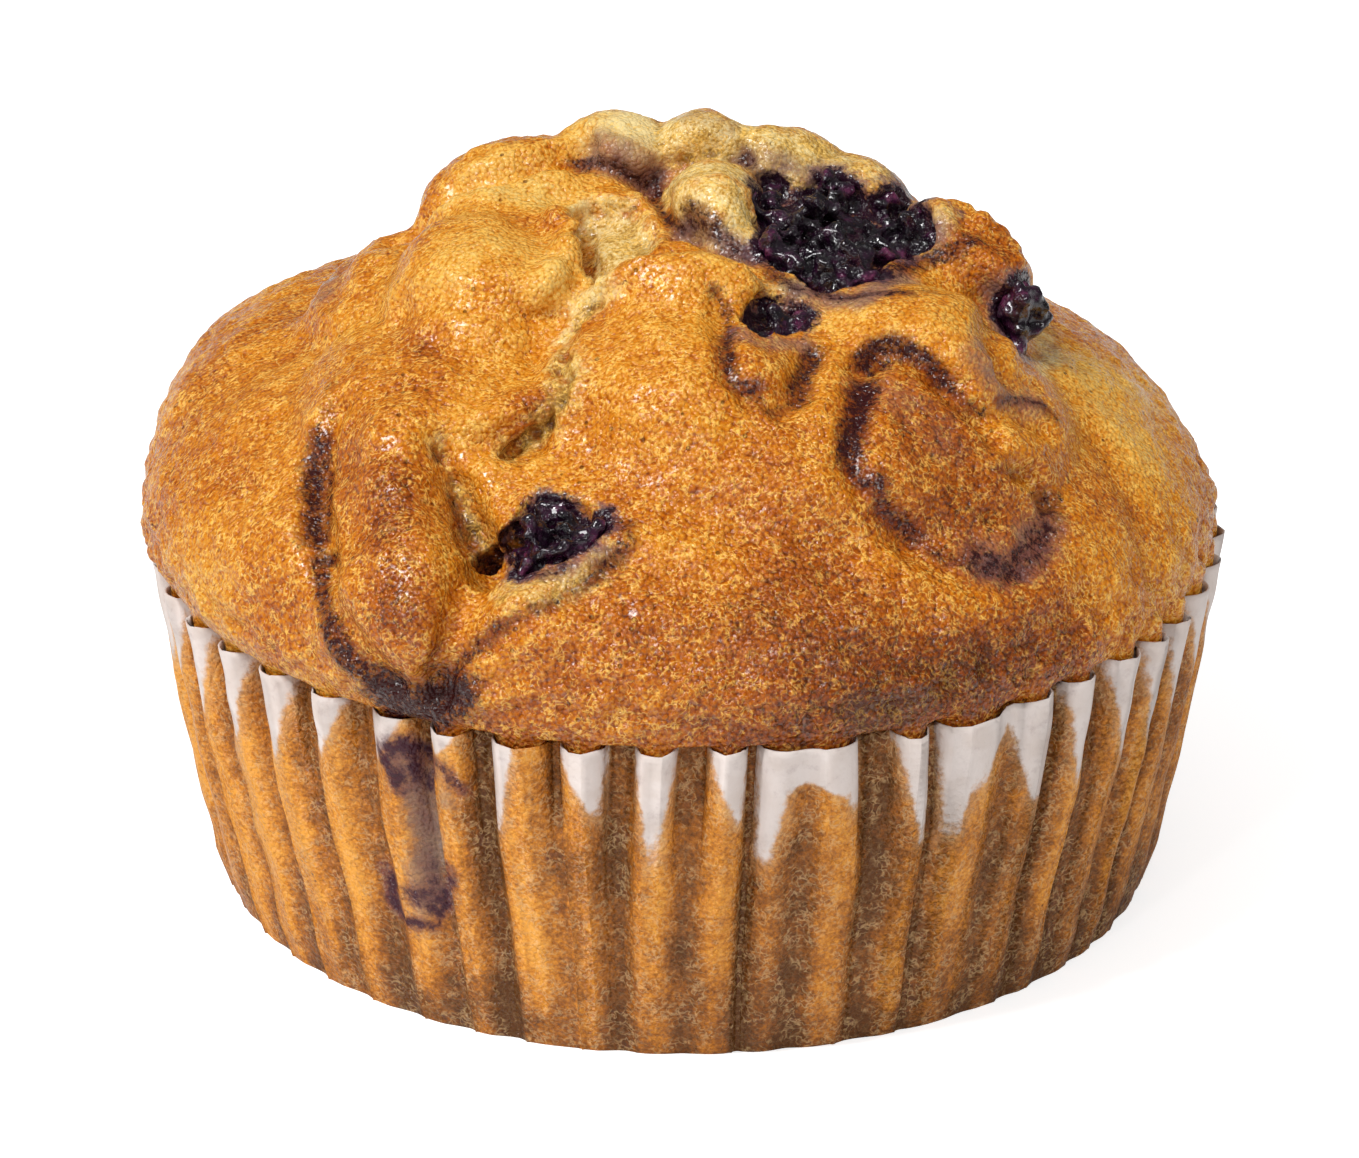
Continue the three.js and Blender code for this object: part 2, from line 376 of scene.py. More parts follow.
# %% Folds
WALL = [(37.8, 0), (39, 3.6), (41.2, 15), (43.2, 28)]  # radius on the crests of the pleats, height
FOLD_DEPTH = [(0.28, 0), (0.65, 3.6), (1.15, 14), (1.5, 20), (2.5, 28)]  # depth of the pleats, height
FREE_FROM, FREE_AT = 16, 25.5  # the heights between which the wave turns into a free fold
STEEPNESS, WIDE_STEEPNESS = 1.35, 3.5  # how late a pleat falls away; twice or half as late round the sides
PLEAT_WANDER = 0.35  # how far a pleat's rim stands in or out of its neighbours'
SIDE_CREASE = 0.16  # how far the sharp edge of a fold stands out
RIM_TURN = math.radians(4.5)  # how far the free folds turn outwards round the sides
CRUMPLE, CRUMPLE_SIZE = 0.22, 3.4  # how far, and over what length, the paper is crumpled


def height_blend(height, low, high):
    """Goes smoothly from 0 at one height to 1 at another."""
    part = min(1, max(0, (height - low) / (high - low)))
    return part * part * (3 - 2 * part)


def at_height(table, height):
    """A value from a table of (value, height)."""
    return float(np.interp(height, [row[1] for row in table], [row[0] for row in table]))


def paper_point(column, height):
    """A point of the case on one column at one height, and how far behind the crest it is, from 0 to 1."""
    angle, across, number, to_middle, depth, lean = column
    outer = math.copysign(1, across) * math.sin(angle)  # above 0 on the side away from the front
    steepness = WIDE_STEEPNESS if number in OLD_FOLDS else STEEPNESS * 2 ** min(1, max(-1, outer / 0.2))
    wave = depth * (0.5 - 0.5 * math.cos(math.pi * to_middle ** steepness))
    fold, wander = 1.0, 0.0
    if number >= 0:
        squareness = 4 if number in OLD_FOLDS else 2
        fold = 1 - math.sqrt(max(0, 1 - abs(across) ** squareness))
        wander = PLEAT_WANDER * (chance(number * 3.7) - 0.5) * height / CASE_HEIGHT
        if outer > 0:
            wander += SIDE_CREASE * math.exp(-(((abs(across) - 0.93) / 0.05) ** 2))
    if number in OLD_FOLDS:
        dip, place, at_rim = OLD_FOLDS[number]
        share = 1 - (1 - at_rim) * (height / CASE_HEIGHT) ** 2
        old_fold = dip * share * math.exp(-(((across - place) / 0.3) ** 2))
        fold, wave = max(fold, old_fold), max(wave, 1.4 * old_fold)
    behind = wave + (fold - wave) * height_blend(height, FREE_FROM, FREE_AT)
    radius = at_height(WALL, height) + wander - behind * at_height(FOLD_DEPTH, height)
    place = Vector((radius * math.sin(angle), radius * math.cos(angle), height)) / CRUMPLE_SIZE
    radius += CRUMPLE * noise.noise(place) * height_blend(height, 0.3, 5)
    foot_lean = math.radians(lean) * (1 - (height / CASE_HEIGHT) ** 2)
    flare = RIM_TURN * math.sin(angle) * height_blend(height, 6, 27)
    turned = angle + foot_lean + flare
    return radius * math.sin(turned), -radius * math.cos(turned), behind


# %% Paper wall
RING_RADIUS = 40
RIM_WAVE = 0.18  # how far the cut edge of the paper rises and falls
bpy.ops.object.select_all(action="DESELECT")
bpy.ops.mesh.primitive_circle_add(vertices=len(columns), radius=RING_RADIUS * MM)
paper = bpy.context.object
bpy.ops.object.mode_set(mode="EDIT")
bpy.ops.mesh.select_all(action="SELECT")
for _ in rows[1:]:
    bpy.ops.mesh.extrude_region_move(TRANSFORM_OT_translate={"value": (0, 0, MM)})
bpy.ops.object.mode_set(mode="OBJECT")
settle(paper, "pleated_paper")


def nearest_column(points):
    """Which column each point of a plain ring belongs to."""
    turns = np.arctan2(points[:, 0], -points[:, 1]) / (2 * math.pi)
    return np.round(turns * len(columns)).astype(int) % len(columns)


def place_points(piece, points):
    """Moves every point of a piece to a new place, in millimetres."""
    piece.data.vertices.foreach_set("co", (points * MM).astype(np.float32).ravel())
    piece.data.update()


wall = points_of(paper)
column_of, row_of = nearest_column(wall), np.round(wall[:, 2]).astype(int)
behind_of = np.zeros(len(wall))
for index, (column, row) in enumerate(zip(column_of, row_of)):
    height = rows[row]
    x, y, behind_of[index] = paper_point(columns[column], height)
    rise = RIM_WAVE * math.sin(columns[column].angle * 9 + 1) * (height / CASE_HEIGHT) ** 8
    wall[index] = (x, y, height + rise)
place_points(paper, wall)
done(f"paper wall of {len(wall)} points")

# %% [markdown]
# Near the rim the batter never reached the paper, so it stays white there, in a tongue that narrows
# downwards on each pleat. Each tongue is one row of a table, and every point of the wall learns how deep
# inside one it is. The finish turns that number into a ragged edge.

# %% Free paper
# Pleat: its tongues, each from one side to the other across the pleat, with its tip's place across and its
# depth in millimetres.
FREE = {
    0: [(-1, 1, -0.6, 8.6)], 1: [(-1, 1, -0.4, 8)], 2: [(-1, 1, -0.4, 8)], 3: [(-1, 1, -0.5, 7.6)],
    4: [(-1, 0.9, -0.6, 5.4)], 5: [(-1, 0.5, -0.75, 4.0)], 6: [(-1, 0.5, -0.5, 1.9)],
    7: [(-1, -0.1, -0.9, 7.8)], 8: [(-0.95, 0.95, 0.55, 5.8)], 9: [(-0.95, 0.98, 0.0, 9.2)],
    10: [(-0.9, 1, 0.6, 5.9)],
    11: [(-1, -0.38, -0.8, 9.4), (-1, 1, 0.7, 4.4), (-1, 1, -0.7, 4.0), (0.5, 1, 0.93, 5.4)],
    12: [(-0.9, 1, 0.7, 9.4)],
    13: [(-1, -0.4, -0.75, 9.4), (-0.7, 0.0, -0.4, 6.0), (0.15, 1, 0.8, 9.0), (-0.2, 0.4, 0.1, 1.6)],
    14: [(-1, 1, 0.5, 8.6)], 15: [(-1, 1, 0.6, 9.2)], 16: [(-1, 1, 0.5, 9)], 17: [(-1, 1, 0.6, 8.8)],
    18: [(-1, 1, 0.6, 8.6)], 19: [(-1, 1, 0.8, 9)],
}
for number in range(len(FRONT_PLEATS), len(pleats)):
    FREE[number] = [(-0.95, 0.95, 1.4 * chance(number + 280) - 0.7, 5 + 4 * chance(number + 180))]
FREE_LIMIT = 1.5  # millimetres: a place further inside or outside a tongue than this counts as this
RIM_RADIUS = 42
TIP_HALF = 0.1  # half the width of a tongue's blunt tip, as a share of half the pleat


def free_depth(across, number, height):
    """How far inside a tongue of free paper a place is, in millimetres, or how far outside if below 0."""
    deepest = -FREE_LIMIT
    half_width = math.radians(pleats[number][1]) * RIM_RADIUS
    for left, right, tip, drop in FREE[number]:
        down = (CASE_HEIGHT - height) / drop
        low_side = left + (tip - TIP_HALF - left) * down ** 1.2
        high_side = right + (tip + TIP_HALF - right) * down ** 1.2
        to_side = min(across - low_side, high_side - across) * half_width
        deepest = max(deepest, min(to_side, (1 - down) * drop * 0.5))
    return min(deepest, FREE_LIMIT)


def mark(piece, name, values):
    """Stores one number for each point, for the finish to read."""
    layer = piece.data.attributes.new(name, "FLOAT", "POINT")
    layer.data.foreach_set("value", np.asarray(values, np.float32))


free_of = np.full(len(wall), -FREE_LIMIT)
for index, (column, row) in enumerate(zip(column_of, row_of)):
    if columns[column].pleat >= 0:
        free_of[index] = free_depth(columns[column].across, columns[column].pleat, rows[row])
mark(paper, "behind", behind_of)
mark(paper, "free", free_of)
done(f"{(free_of > 0).mean():.0%} of the wall is free paper")

# %% [markdown]
# The floor of the case closes the wall below. It is extruded from the lowest ring, drawn in a little for
# the round edge, and filled. A single skin has no edge to catch the light, so Solidify then gives the paper
# its thickness.

# %% Floor of the case
FLOOR_SHARE = 0.96  # the flat floor, as a share of the lowest ring
PAPER_THICKNESS = 0.14
select_only(paper)
bpy.ops.object.mode_set(mode="EDIT")
bpy.ops.mesh.select_all(action="DESELECT")
bpy.ops.object.mode_set(mode="OBJECT")
for vertex, row in zip(paper.data.vertices, row_of):
    vertex.select = bool(row == 0)
bpy.ops.object.mode_set(mode="EDIT")
bpy.ops.mesh.select_mode(type="VERT")
bpy.ops.mesh.extrude_region_move()
bpy.ops.transform.resize(value=(FLOOR_SHARE, FLOOR_SHARE, 1))
bpy.ops.mesh.edge_face_add()
bpy.ops.mesh.select_all(action="SELECT")
bpy.ops.mesh.normals_make_consistent(inside=False)
bpy.ops.object.mode_set(mode="OBJECT")
modify(paper, "SOLIDIFY", thickness=PAPER_THICKNESS * MM, offset=-1)
bpy.ops.object.shade_smooth()
paper_tree = tree_of(paper)
done(f"paper case of {len(paper.data.polygons)} faces")

# %% [markdown]
# ## The cake
#
# The crown is a heap of soft batter that rose in lumps. Eggs of several sizes are placed as those lumps,
# and a voxel remesh melts them into one skin, which a little smoothing turns into batter. Folds, creases
# and swellings follow as brush strokes.

# %% Lumps of batter
LUMPS = {  # the middle of each lump, and its half sizes
    "shoulder": ((-0.7, 0, 31), (42.9, 42.9, 17.6)),
    "left_shoulder": ((-17.5, 4, 34), (25.2, 31, 11)),
    "left_ear": ((-21.2, 3, 43), (9.3, 12, 7.3)),
    "left_slope": ((-17, -11, 40.5), (14, 17, 8.8)),
    "left_fold": ((-22.5, -22, 37.5), (6, 10, 6.5)),
    "apron": ((6, -11, 40), (25, 22, 11.5)),
    "mound": ((2, 2, 45.5), (24, 21, 10)),
    "left_front": ((-15.4, -4, 46.5), (8.8, 11.5, 8.7)),
    "left_back": ((-12.9, 9.5, 48.8), (9.2, 9, 8.2)),
    "back_left": ((-5.6, 12, 49.4), (6.8, 7.5, 9.3)),
    "back_middle": ((1.4, 12, 49.6), (6, 7, 9.4)),
    "back_right": ((7, 11.5, 49), (8.5, 7.5, 8.9)),
    "back_end": ((13.4, 9.5, 47.4), (6.2, 7, 9)),
    "small_pale": ((2.4, 1.6, 53.2), (4.4, 6.3, 5.3)),
    "middle": ((-0.2, -11.5, 49), (7.6, 6, 6.7)),
    "middle_slope": ((0.5, -15.5, 44.8), (11, 13.5, 8.6)),
    "right": ((16.6, -11.5, 46.3), (9.6, 8.5, 6.9)),
    "right_ridge": ((20.2, 2.5, 48.6), (5.4, 7, 6.5)),
    "right_knob": ((23.7, 1.5, 47.5), (3.9, 6, 5.9)),
    "front_left": ((-21.2, -29.5, 33.5), (7.5, 9, 7.5)),
    "front": ((-10, -35.5, 34.5), (6, 5.5, 5)),
}
lumps = [ball(at, size, rings=48 if max(size) > 20 else 24, name=name) for name, (at, size) in LUMPS.items()]
crust = joined(lumps, "crust")
melt(crust, voxel=0.7, smoothing=4)
done(f"{len(LUMPS)} lumps melted into {len(crust.data.vertices)} points")

# %% [markdown]
# ## Folds and creases
#
# Batter that swells over its neighbour leaves a fold, and where two swellings meet there is a crease. They
# could be sculpted one by one. A table of strokes does the same and is easier to read and change: each one
# pushes the skin out or in along its own normals, as far from its path as it reaches.

# %% Folds and creases
# Each stroke: its path in the camera's frame, how far it reaches, and how much it lifts or sinks the crust,
# in millimetres.
STROKES = {
    "brow of the left lump": ([(432, 222), (470, 212), (520, 215), (560, 228)], 3.0, 1.1),
    "end of the brow": ([(558, 234), (566, 255), (560, 278), (545, 292)], 2.4, 1.4),
    "crease under the brow": ([(400, 318), (440, 305), (480, 308), (520, 312), (548, 318)], 2.4, -0.9),
    "lower brow": ([(490, 425), (520, 415), (552, 395), (562, 370)], 3.0, 1.1),
    "under the lower brow": ([(480, 447), (515, 447), (535, 440)], 2.2, -1.6),
    "trough": ([(438, 455), (450, 485), (465, 520), (482, 555)], 2.6, -2.9),
    "deep end of the trough": ([(460, 515), (474, 540), (492, 556)], 1.8, -1.2),
    "glossy fold": ([(392, 440), (402, 500), (410, 560), (418, 620), (427, 655)], 4.6, 1.5),
    "fold's left crease": (
        [(332, 420), (319, 470), (316, 530), (324, 590), (345, 645), (390, 688)], 2.2, -1.3),
    "fold's right crease": ([(482, 570), (462, 620), (450, 665), (430, 692)], 2.0, -1.0),
    "strip under the front berry": ([(480, 650), (520, 610), (580, 575), (612, 552)], 2.6, 0.5),
    "strip's lower crease": ([(430, 700), (470, 660), (520, 625), (580, 596), (622, 560)], 1.5, -0.7),
    "middle lump's rim": ([(600, 300), (630, 272), (670, 264), (715, 266), (748, 285)], 2.6, 0.9),
    "middle lump's left rim": ([(585, 330), (578, 370), (575, 410)], 2.2, 0.7),
    "crease of the middle stain": ([(718, 298), (726, 345), (728, 370), (750, 395)], 1.6, -0.9),
    "second crease of the stain": ([(812, 350), (800, 385), (785, 410)], 1.8, -0.9),
    "pad under the small berry": ([(765, 365)], 3.0, 0.5),
    "right loop's top": ([(862, 362), (885, 348), (915, 352), (945, 378), (980, 410)], 2.0, -1.3),
    "right loop's left": ([(862, 385), (852, 425), (850, 465), (870, 500), (905, 530)], 2.2, -1.0),
    "right loop's foot": ([(920, 545), (970, 572), (1020, 565), (1045, 525)], 2.2, -0.6),
    "inside the loop": ([(915, 430), (950, 460), (935, 500)], 6.0, -0.6),
    "right pit": ([(996, 430)], 1.7, -1.9),
    "right crease": ([(985, 405), (1020, 402), (1050, 420)], 1.8, -1.0),
    "lower right crease": ([(1046, 490), (1038, 470), (1020, 462)], 1.7, -1.5),
    "ledge": ([(975, 245), (1005, 275), (1018, 300), (1016, 330)], 1.9, 1.1),
    "beside the ledge": ([(992, 290), (996, 325), (1006, 365)], 2.4, -1.1),
    "streaky facet": ([(940, 320), (975, 350), (1000, 385)], 3.0, 0.5),
    "knob 1": ([(938, 203)], 2.0, 0.8),
    "knob 2": ([(985, 225)], 2.2, 0.7),
    "knob 3": ([(1012, 255)], 2.0, 0.7),
    "cream ball": ([(943, 214)], 1.6, 0.6),
    "left dimple": ([(345, 265), (330, 300)], 2.8, -1.0),
    "purple groove": (
        [(575, 165), (600, 163), (625, 170), (648, 182), (658, 200), (664, 218), (682, 230)], 1.5, -1.6),
    "behind the groove": ([(600, 148), (640, 155)], 2.4, 0.8),
    "groove round the small lump": ([(682, 230), (700, 236), (722, 246), (750, 252)], 1.5, -1.3),
    "back crease": ([(655, 180), (668, 166), (690, 154), (720, 148), (748, 156)], 1.5, -1.3),
    "small lump": ([(690, 190), (715, 185), (725, 215)], 2.6, 0.6),
    "back bulge": ([(690, 130), (760, 140)], 3.5, 0.5),
    "left back crease": ([(400, 245), (430, 215), (460, 188), (500, 172), (540, 160), (575, 150)], 2.0, -1.8),
    "notch": ([(580, 130), (590, 150)], 1.6, -0.8),
    "side wrinkle 1": ([(1080, 300), (1130, 350), (1165, 420)], 3.0, -0.35),
    "side wrinkle 2": ([(1110, 440), (1140, 500), (1150, 560)], 3.5, -0.45),
    "low wrinkle 1": ([(620, 560), (700, 585), (780, 590), (850, 575)], 3.0, -0.4),
    "low wrinkle 2": ([(640, 650), (740, 665), (850, 655), (930, 640)], 3.0, -0.4),
    "low wrinkle 3": ([(950, 660), (1030, 640), (1100, 600)], 3.0, -0.45),
    "low wrinkle 4": ([(700, 500), (780, 510), (850, 540)], 3.0, -0.35),
}
tree = tree_of(crust)
points = points_of(crust)
for path, reach, height in STROKES.values():
    brush(crust, soft(distance_to(points, seen(tree, path)), reach), height)
done(f"{len(STROKES)} strokes")

# %% [markdown]
# ## The foot
#
# Below the crown the cake fills the case. Its foot follows each pleat just inside the paper, because the
# batter ran into every fold before it set. The crown is cut flat under its shoulder, and a Boolean joins it
# to a foot that the paper's own formula has shaped.

# %% Foot of the cake
SHOULDER_TILT = math.radians(1.3)  # the shoulder is a little higher at the left
CROWN_FLOOR = 28.5
UNDER_PAPER = 0.5
FOOT_ROWS = [(18, 38.6), (26.1, 39.9), (26.9, None), (29.4, None)]  # height, and radius where it is round
leaned = points_of(crust)
leaned[:, 2] -= math.tan(SHOULDER_TILT) * leaned[:, 0]
place_points(crust, leaned)
select_only(crust)
bpy.ops.object.mode_set(mode="EDIT")
bpy.ops.mesh.select_all(action="SELECT")
bpy.ops.mesh.bisect(plane_co=(0, 0, CROWN_FLOOR * MM), plane_no=(0, 0, 1), clear_inner=True, use_fill=True)

bpy.ops.object.mode_set(mode="OBJECT")
bpy.ops.object.select_all(action="DESELECT")
bpy.ops.mesh.primitive_circle_add(vertices=len(columns), radius=RING_RADIUS * MM, fill_type="NGON")
foot = bpy.context.object
bpy.ops.object.mode_set(mode="EDIT")
bpy.ops.mesh.select_all(action="SELECT")
for _ in FOOT_ROWS[1:]:
    bpy.ops.mesh.extrude_region_move(TRANSFORM_OT_translate={"value": (0, 0, MM)})
bpy.ops.mesh.select_all(action="SELECT")
bpy.ops.mesh.normals_make_consistent(inside=False)
bpy.ops.object.mode_set(mode="OBJECT")
settle(foot, "foot")
ring = points_of(foot)
for index, column in enumerate(nearest_column(ring)):
    height, radius = FOOT_ROWS[round(ring[index][2])]
    x, y, _ = paper_point(columns[column], min(height, CASE_HEIGHT))
    share = (radius or math.hypot(x, y) - UNDER_PAPER) / math.hypot(x, y)
    ring[index] = (share * x, share * y, height)
place_points(foot, ring)
cut(crust, foot, "UNION")
surface = tree_of(crust)
done(f"foot joined under the crown, {len(crust.data.vertices)} points")

# %% [markdown]
# ## Cracks, torn edges and sockets
#
# Where the crust tore, crumbs stand along the edges. Small balls placed on the skin before it is melted
# again give those, and strings and heaps of balls, melted into one tool and cut away, give the crack, the
# scooped hollow and the sockets that the berries left. A row of balls makes a rougher and more natural edge
# than any smooth tool.

# %% Crumbs
CRUMBS = [  # place in the frame, radius in millimetres
    (573, 226, 1.0), (567, 243, 1.1), (571, 258, 0.9), (560, 272, 1.1), (551, 284, 1.0), (540, 297, 1.1),
    (556, 300, 0.7), (528, 303, 0.8), (586, 292, 0.7), (600, 283, 0.8), (615, 276, 0.7), (628, 268, 0.7),
    (643, 258, 0.8), (660, 250, 0.8), (590, 308, 0.7), (583, 323, 0.6), (578, 345, 0.6), (577, 362, 0.5),
    (575, 385, 0.6), (570, 402, 0.6), (556, 420, 0.6), (549, 410, 0.5), (541, 432, 0.6), (532, 436, 0.5),
    (547, 352, 0.6), (548, 372, 0.6), (545, 330, 0.6), (940, 198, 0.9), (955, 204, 0.8), (968, 210, 0.9),
    (984, 220, 1.0), (1000, 232, 0.8), (1010, 246, 0.9), (1020, 262, 0.8), (950, 222, 0.8), (935, 228, 0.7),
    (1003, 262, 0.7), (1014, 285, 0.6), (905, 180, 0.7), (915, 188, 0.6), (590, 128, 0.7), (620, 122, 0.6),
    (440, 160, 0.7), (425, 178, 0.7), (470, 152, 0.6), (415, 205, 0.6), (500, 145, 0.6), (540, 140, 0.5),
    (490, 430, 0.7), (505, 437, 0.6), (520, 428, 0.7), (742, 268, 0.7), (750, 282, 0.6), (722, 262, 0.6),
    (153, 402, 0.5), (146, 440, 0.45), (150, 470, 0.4), (175, 362, 0.5), (1200, 440, 0.4), (1208, 500, 0.45),
    (1206, 540, 0.4), (1190, 590, 0.4), (160, 540, 0.4), (440, 735, 0.6), (470, 742, 0.5), (540, 745, 0.5),
    (700, 752, 0.5), (730, 755, 0.4), (590, 748, 0.45), (820, 752, 0.5), (900, 735, 0.5), (640, 760, 0.5),
]
CRUMB_SINK = 0.35  # how deep a crumb sits in the crust, as a share of its radius
crumbs = []
for across, down, radius in CRUMBS:
    hit = hit_at(surface, across, down)
    if hit:
        size = [radius * rng.uniform(0.85, 1.25) for _ in range(3)]
        turn = [rng.uniform(0, 3) for _ in range(3)]
        crumbs.append(ball(hit[0] - CRUMB_SINK * radius * hit[1], size, rings=7, turn=turn))
crumbs = melt(joined(crumbs, "crumbs"), 0.3)
cut(crust, crumbs, "UNION")
done(f"{len(CRUMBS)} crumbs")


# %% Tools made of balls
def heap(spots, reach, sink, name, uneven=0.3, patch=16.0):
    """Balls sunk under a patch of the crust, joined but not yet melted.

    A place further than the patch's size from the first one, in millimetres, lies beyond an edge that the
    camera looks past, and gets no ball.
    """
    balls = []
    for point, outward in spots:
        at = point - outward * (sink + rng.uniform(-uneven, uneven))
        radius = reach * rng.uniform(0.75, 1.2)
        if (point - spots[0][0]).length < patch:
            balls.append(ball(at, (radius, radius, radius), rings=6))
    return joined(balls, name)


def rough_string(path, reach, name, spacing=0.8, wobble=0.35):
    """A string of uneven balls along a path, melted into one."""
    balls = []
    for start, end in zip(path, path[1:]):
        start, end = Vector(start), Vector(end)
        steps = max(1, round((end - start).length / spacing))
        for step in range(steps):
            at = start.lerp(end, step / steps) + Vector([rng.uniform(-wobble, wobble) for _ in range(3)])
            size = [reach * rng.uniform(0.6, 1.2) for _ in range(3)]
            balls.append(ball(at, size, rings=6, turn=[rng.uniform(0, 3) for _ in range(3)]))
    return melt(joined(balls, name), 0.3)


def sunk(spots, depth):
    """The points that lie a depth in millimetres under these places of the crust."""
    return [point - depth * outward for point, outward in spots]


# %% Main crack
MAIN_CRACK = [
    (597, 298), (583, 314), (572, 332), (563, 350), (566, 372), (564, 392), (556, 412), (542, 428),
    (526, 440), (510, 452),
]
PITS = [  # small holes along the crack: place in the frame, radius in millimetres
    (588, 306, 0.6), (572, 322, 0.5), (561, 350, 0.7), (571, 358, 0.5), (554, 371, 0.7), (569, 378, 0.6),
    (562, 400, 0.6), (549, 426, 0.8), (537, 436, 0.6), (521, 447, 0.9), (508, 455, 0.7), (612, 268, 0.6),
    (598, 280, 0.7), (436, 452, 0.8), (700, 226, 0.5), (688, 214, 0.5),
]
PIT_SINK = 0.6  # how deep a hole's middle lies, as a share of its radius
cut(crust, rough_string(seen(surface, MAIN_CRACK), 0.95, "main crack", wobble=0.5))
pits, pit_middles = [], []
for across, down, radius in PITS:
    point, outward = hit_at(surface, across, down)
    middle = point - PIT_SINK * radius * outward
    pit_middles.append((middle, radius))
    pits.append(ball(middle, (radius, radius, 1.3 * radius), rings=7, turn=(rng.uniform(0, 3), 0, 0)))
cut(crust, melt(joined(pits, "pits"), 0.25))
done(f"crack with {len(PITS)} small holes")

# %% Hollow and second hole
HOLLOW = [
    (567, 212), (574, 198), (592, 189), (618, 187), (640, 194), (658, 212), (664, 235), (650, 250),
    (632, 260), (615, 272), (598, 290), (588, 272), (578, 250), (570, 232),
]
HOLLOW_DEEP_SIDE = [(588, 208), (586, 226), (590, 246), (598, 268)]
SECOND_HOLE = [(489, 560), (495, 554), (501, 548), (506, 545)]
cut(crust, melt(heap(spread(surface, HOLLOW, 0.8, 1.0), 1.6, 0.6, "hollow", 0.1), 0.3, 2))
deep_side = [hit_at(surface, *place) for place in HOLLOW_DEEP_SIDE]
cut(crust, rough_string(sunk(deep_side, 1.6), 2.0, "hollow's deep side", wobble=0.2))
second_hole = [hit_at(surface, *place) for place in SECOND_HOLE]
shallow, deep = heap(second_hole, 1.1, 0.5, "shallow part"), heap(second_hole, 1.1, 2.0, "deep part")
cut(crust, melt(joined([shallow, deep], "second hole"), 0.3))
done("hollow and second hole cut")

# %% [markdown]
# A burst berry leaves a wet hollow whose rim is as ragged as the crumb. One egg would cut a clean bowl, so
# the socket is a heap of balls over the whole outline of the pulp. The socket at the right lies on the edge
# of the crown, where the camera looks past it, so its balls keep to a smaller patch.

# %% Sockets
Socket = namedtuple("Socket", "outline margin patch", defaults=(0.75, 16.0))
SOCKETS = {  # the pulp that shows, by the node that each piece stands for
    "berry_top": Socket([
        (757, 205), (757, 182), (768, 170), (790, 172), (806, 186), (815, 176), (835, 170), (852, 178),
        (862, 190), (880, 198), (895, 188), (910, 188), (924, 205), (931, 225), (928, 242), (912, 252),
        (892, 262), (872, 276), (852, 290), (828, 290), (806, 284), (793, 274), (776, 266), (765, 248),
        (760, 228)]),
    "berry_small": Socket([
        (740, 316), (746, 300), (762, 292), (780, 288), (798, 296), (805, 312), (802, 330), (788, 338),
        (770, 334), (752, 330)]),
    "berry_front": Socket([
        (508, 562), (516, 530), (524, 500), (532, 487), (552, 490), (576, 500), (600, 512), (608, 526),
        (592, 542), (566, 556), (545, 570), (524, 574)]),
    "berry_right": Socket([
        (1006, 312), (1018, 294), (1030, 284), (1040, 292), (1046, 308), (1043, 326), (1038, 346),
        (1032, 358), (1020, 348), (1010, 332)], margin=0.4, patch=5.0),
}
for name, socket in SOCKETS.items():
    spots = spread(surface, socket.outline, 0.8, socket.margin)
    cut(crust, melt(heap(spots, 1.25, 0.25, name + " socket", 0.15, socket.patch), 0.25, 1))
    done(f"{name}: socket of {len(spots)} balls")


# %% [markdown]
# ## Berry pulp
#
# A burst berry is a heap of seedy, wet flesh. Two layers of balls follow the socket, the upper one uneven,
# and a sharp turbulent texture folds the melted skin into crests and torn edges.

# %% Pulp
Pulp = namedtuple("Pulp", "sink spacing margin uneven hanging", defaults=(1.5, 0.35, 1.1, ()))
# How deep each heap sits, the spacing, margin and unevenness of its crest, and balls that hang out of its
# socket: place and radius.
PULPS = {
    "berry_top": Pulp(0.9),
    "berry_small": Pulp(1.0),
    "berry_front": Pulp(1.1),
    "berry_right": Pulp(0.2, 1.2, 0.1, 0.6, [((27.7, -3.4, 49.2), 1.0), ((28.0, -3.0, 48.2), 1.2),
                                             ((28.1, -2.8, 47.0), 1.1), ((27.5, -3.4, 46.0), 0.9)]),
}
PULP_VOXEL = 0.2
FOLD_HEIGHT, FOLD_SIZE = 1.5, 2.0
SEED_HEIGHT, SEED_SIZE = 0.1, 0.6
PULP_RIM = 2.4  # how far in from its outline a pulp is thin and red
pulps = {}
for name, berry in PULPS.items():
    outline, _, patch = SOCKETS[name]
    crest_spots = spread(surface, outline, berry.spacing, berry.margin)
    crest = heap(crest_spots, 1.15, berry.sink, name + " crest", berry.uneven, patch)
    base = heap(spread(surface, outline, 0.9, 0.1), 0.95, berry.sink + 1.2, name + " base", 0.2, patch)
    hanging = [ball(at, (radius, radius, radius), 6) for at, radius in berry.hanging]
    pulp = melt(joined([crest, base] + hanging, name.replace("berry", "pulp")), PULP_VOXEL, 1)
    folds = cloud(name + " folds", FOLD_SIZE, noise_depth=1, noise_type="HARD_NOISE")
    brush(pulp, np.ones(len(pulp.data.vertices)), FOLD_HEIGHT, folds, mid_level=0.5)
    melt(pulp, PULP_VOXEL)
    seeds = cloud(name + " seeds", SEED_SIZE, noise_depth=1)
    brush(pulp, np.ones(len(pulp.data.vertices)), SEED_HEIGHT, seeds, mid_level=0.5)
    bpy.ops.object.shade_smooth()
    to_outline = distance_to(points_of(pulp), seen(surface, outline + outline[:1]))
    mark(pulp, "rim", np.clip(1 - to_outline / PULP_RIM, 0, 1))
    pulps[name] = pulp
    done(f"{pulp.name} of {len(pulp.data.polygons)} faces")


# %% [markdown]
# ## The tear in the trough
#
# Beside the glossy fold the skin split once more, along the bottom of the trough. A brush stroke would only
# dent it, so a string of balls just under the skin is cut away and leaves torn sides.

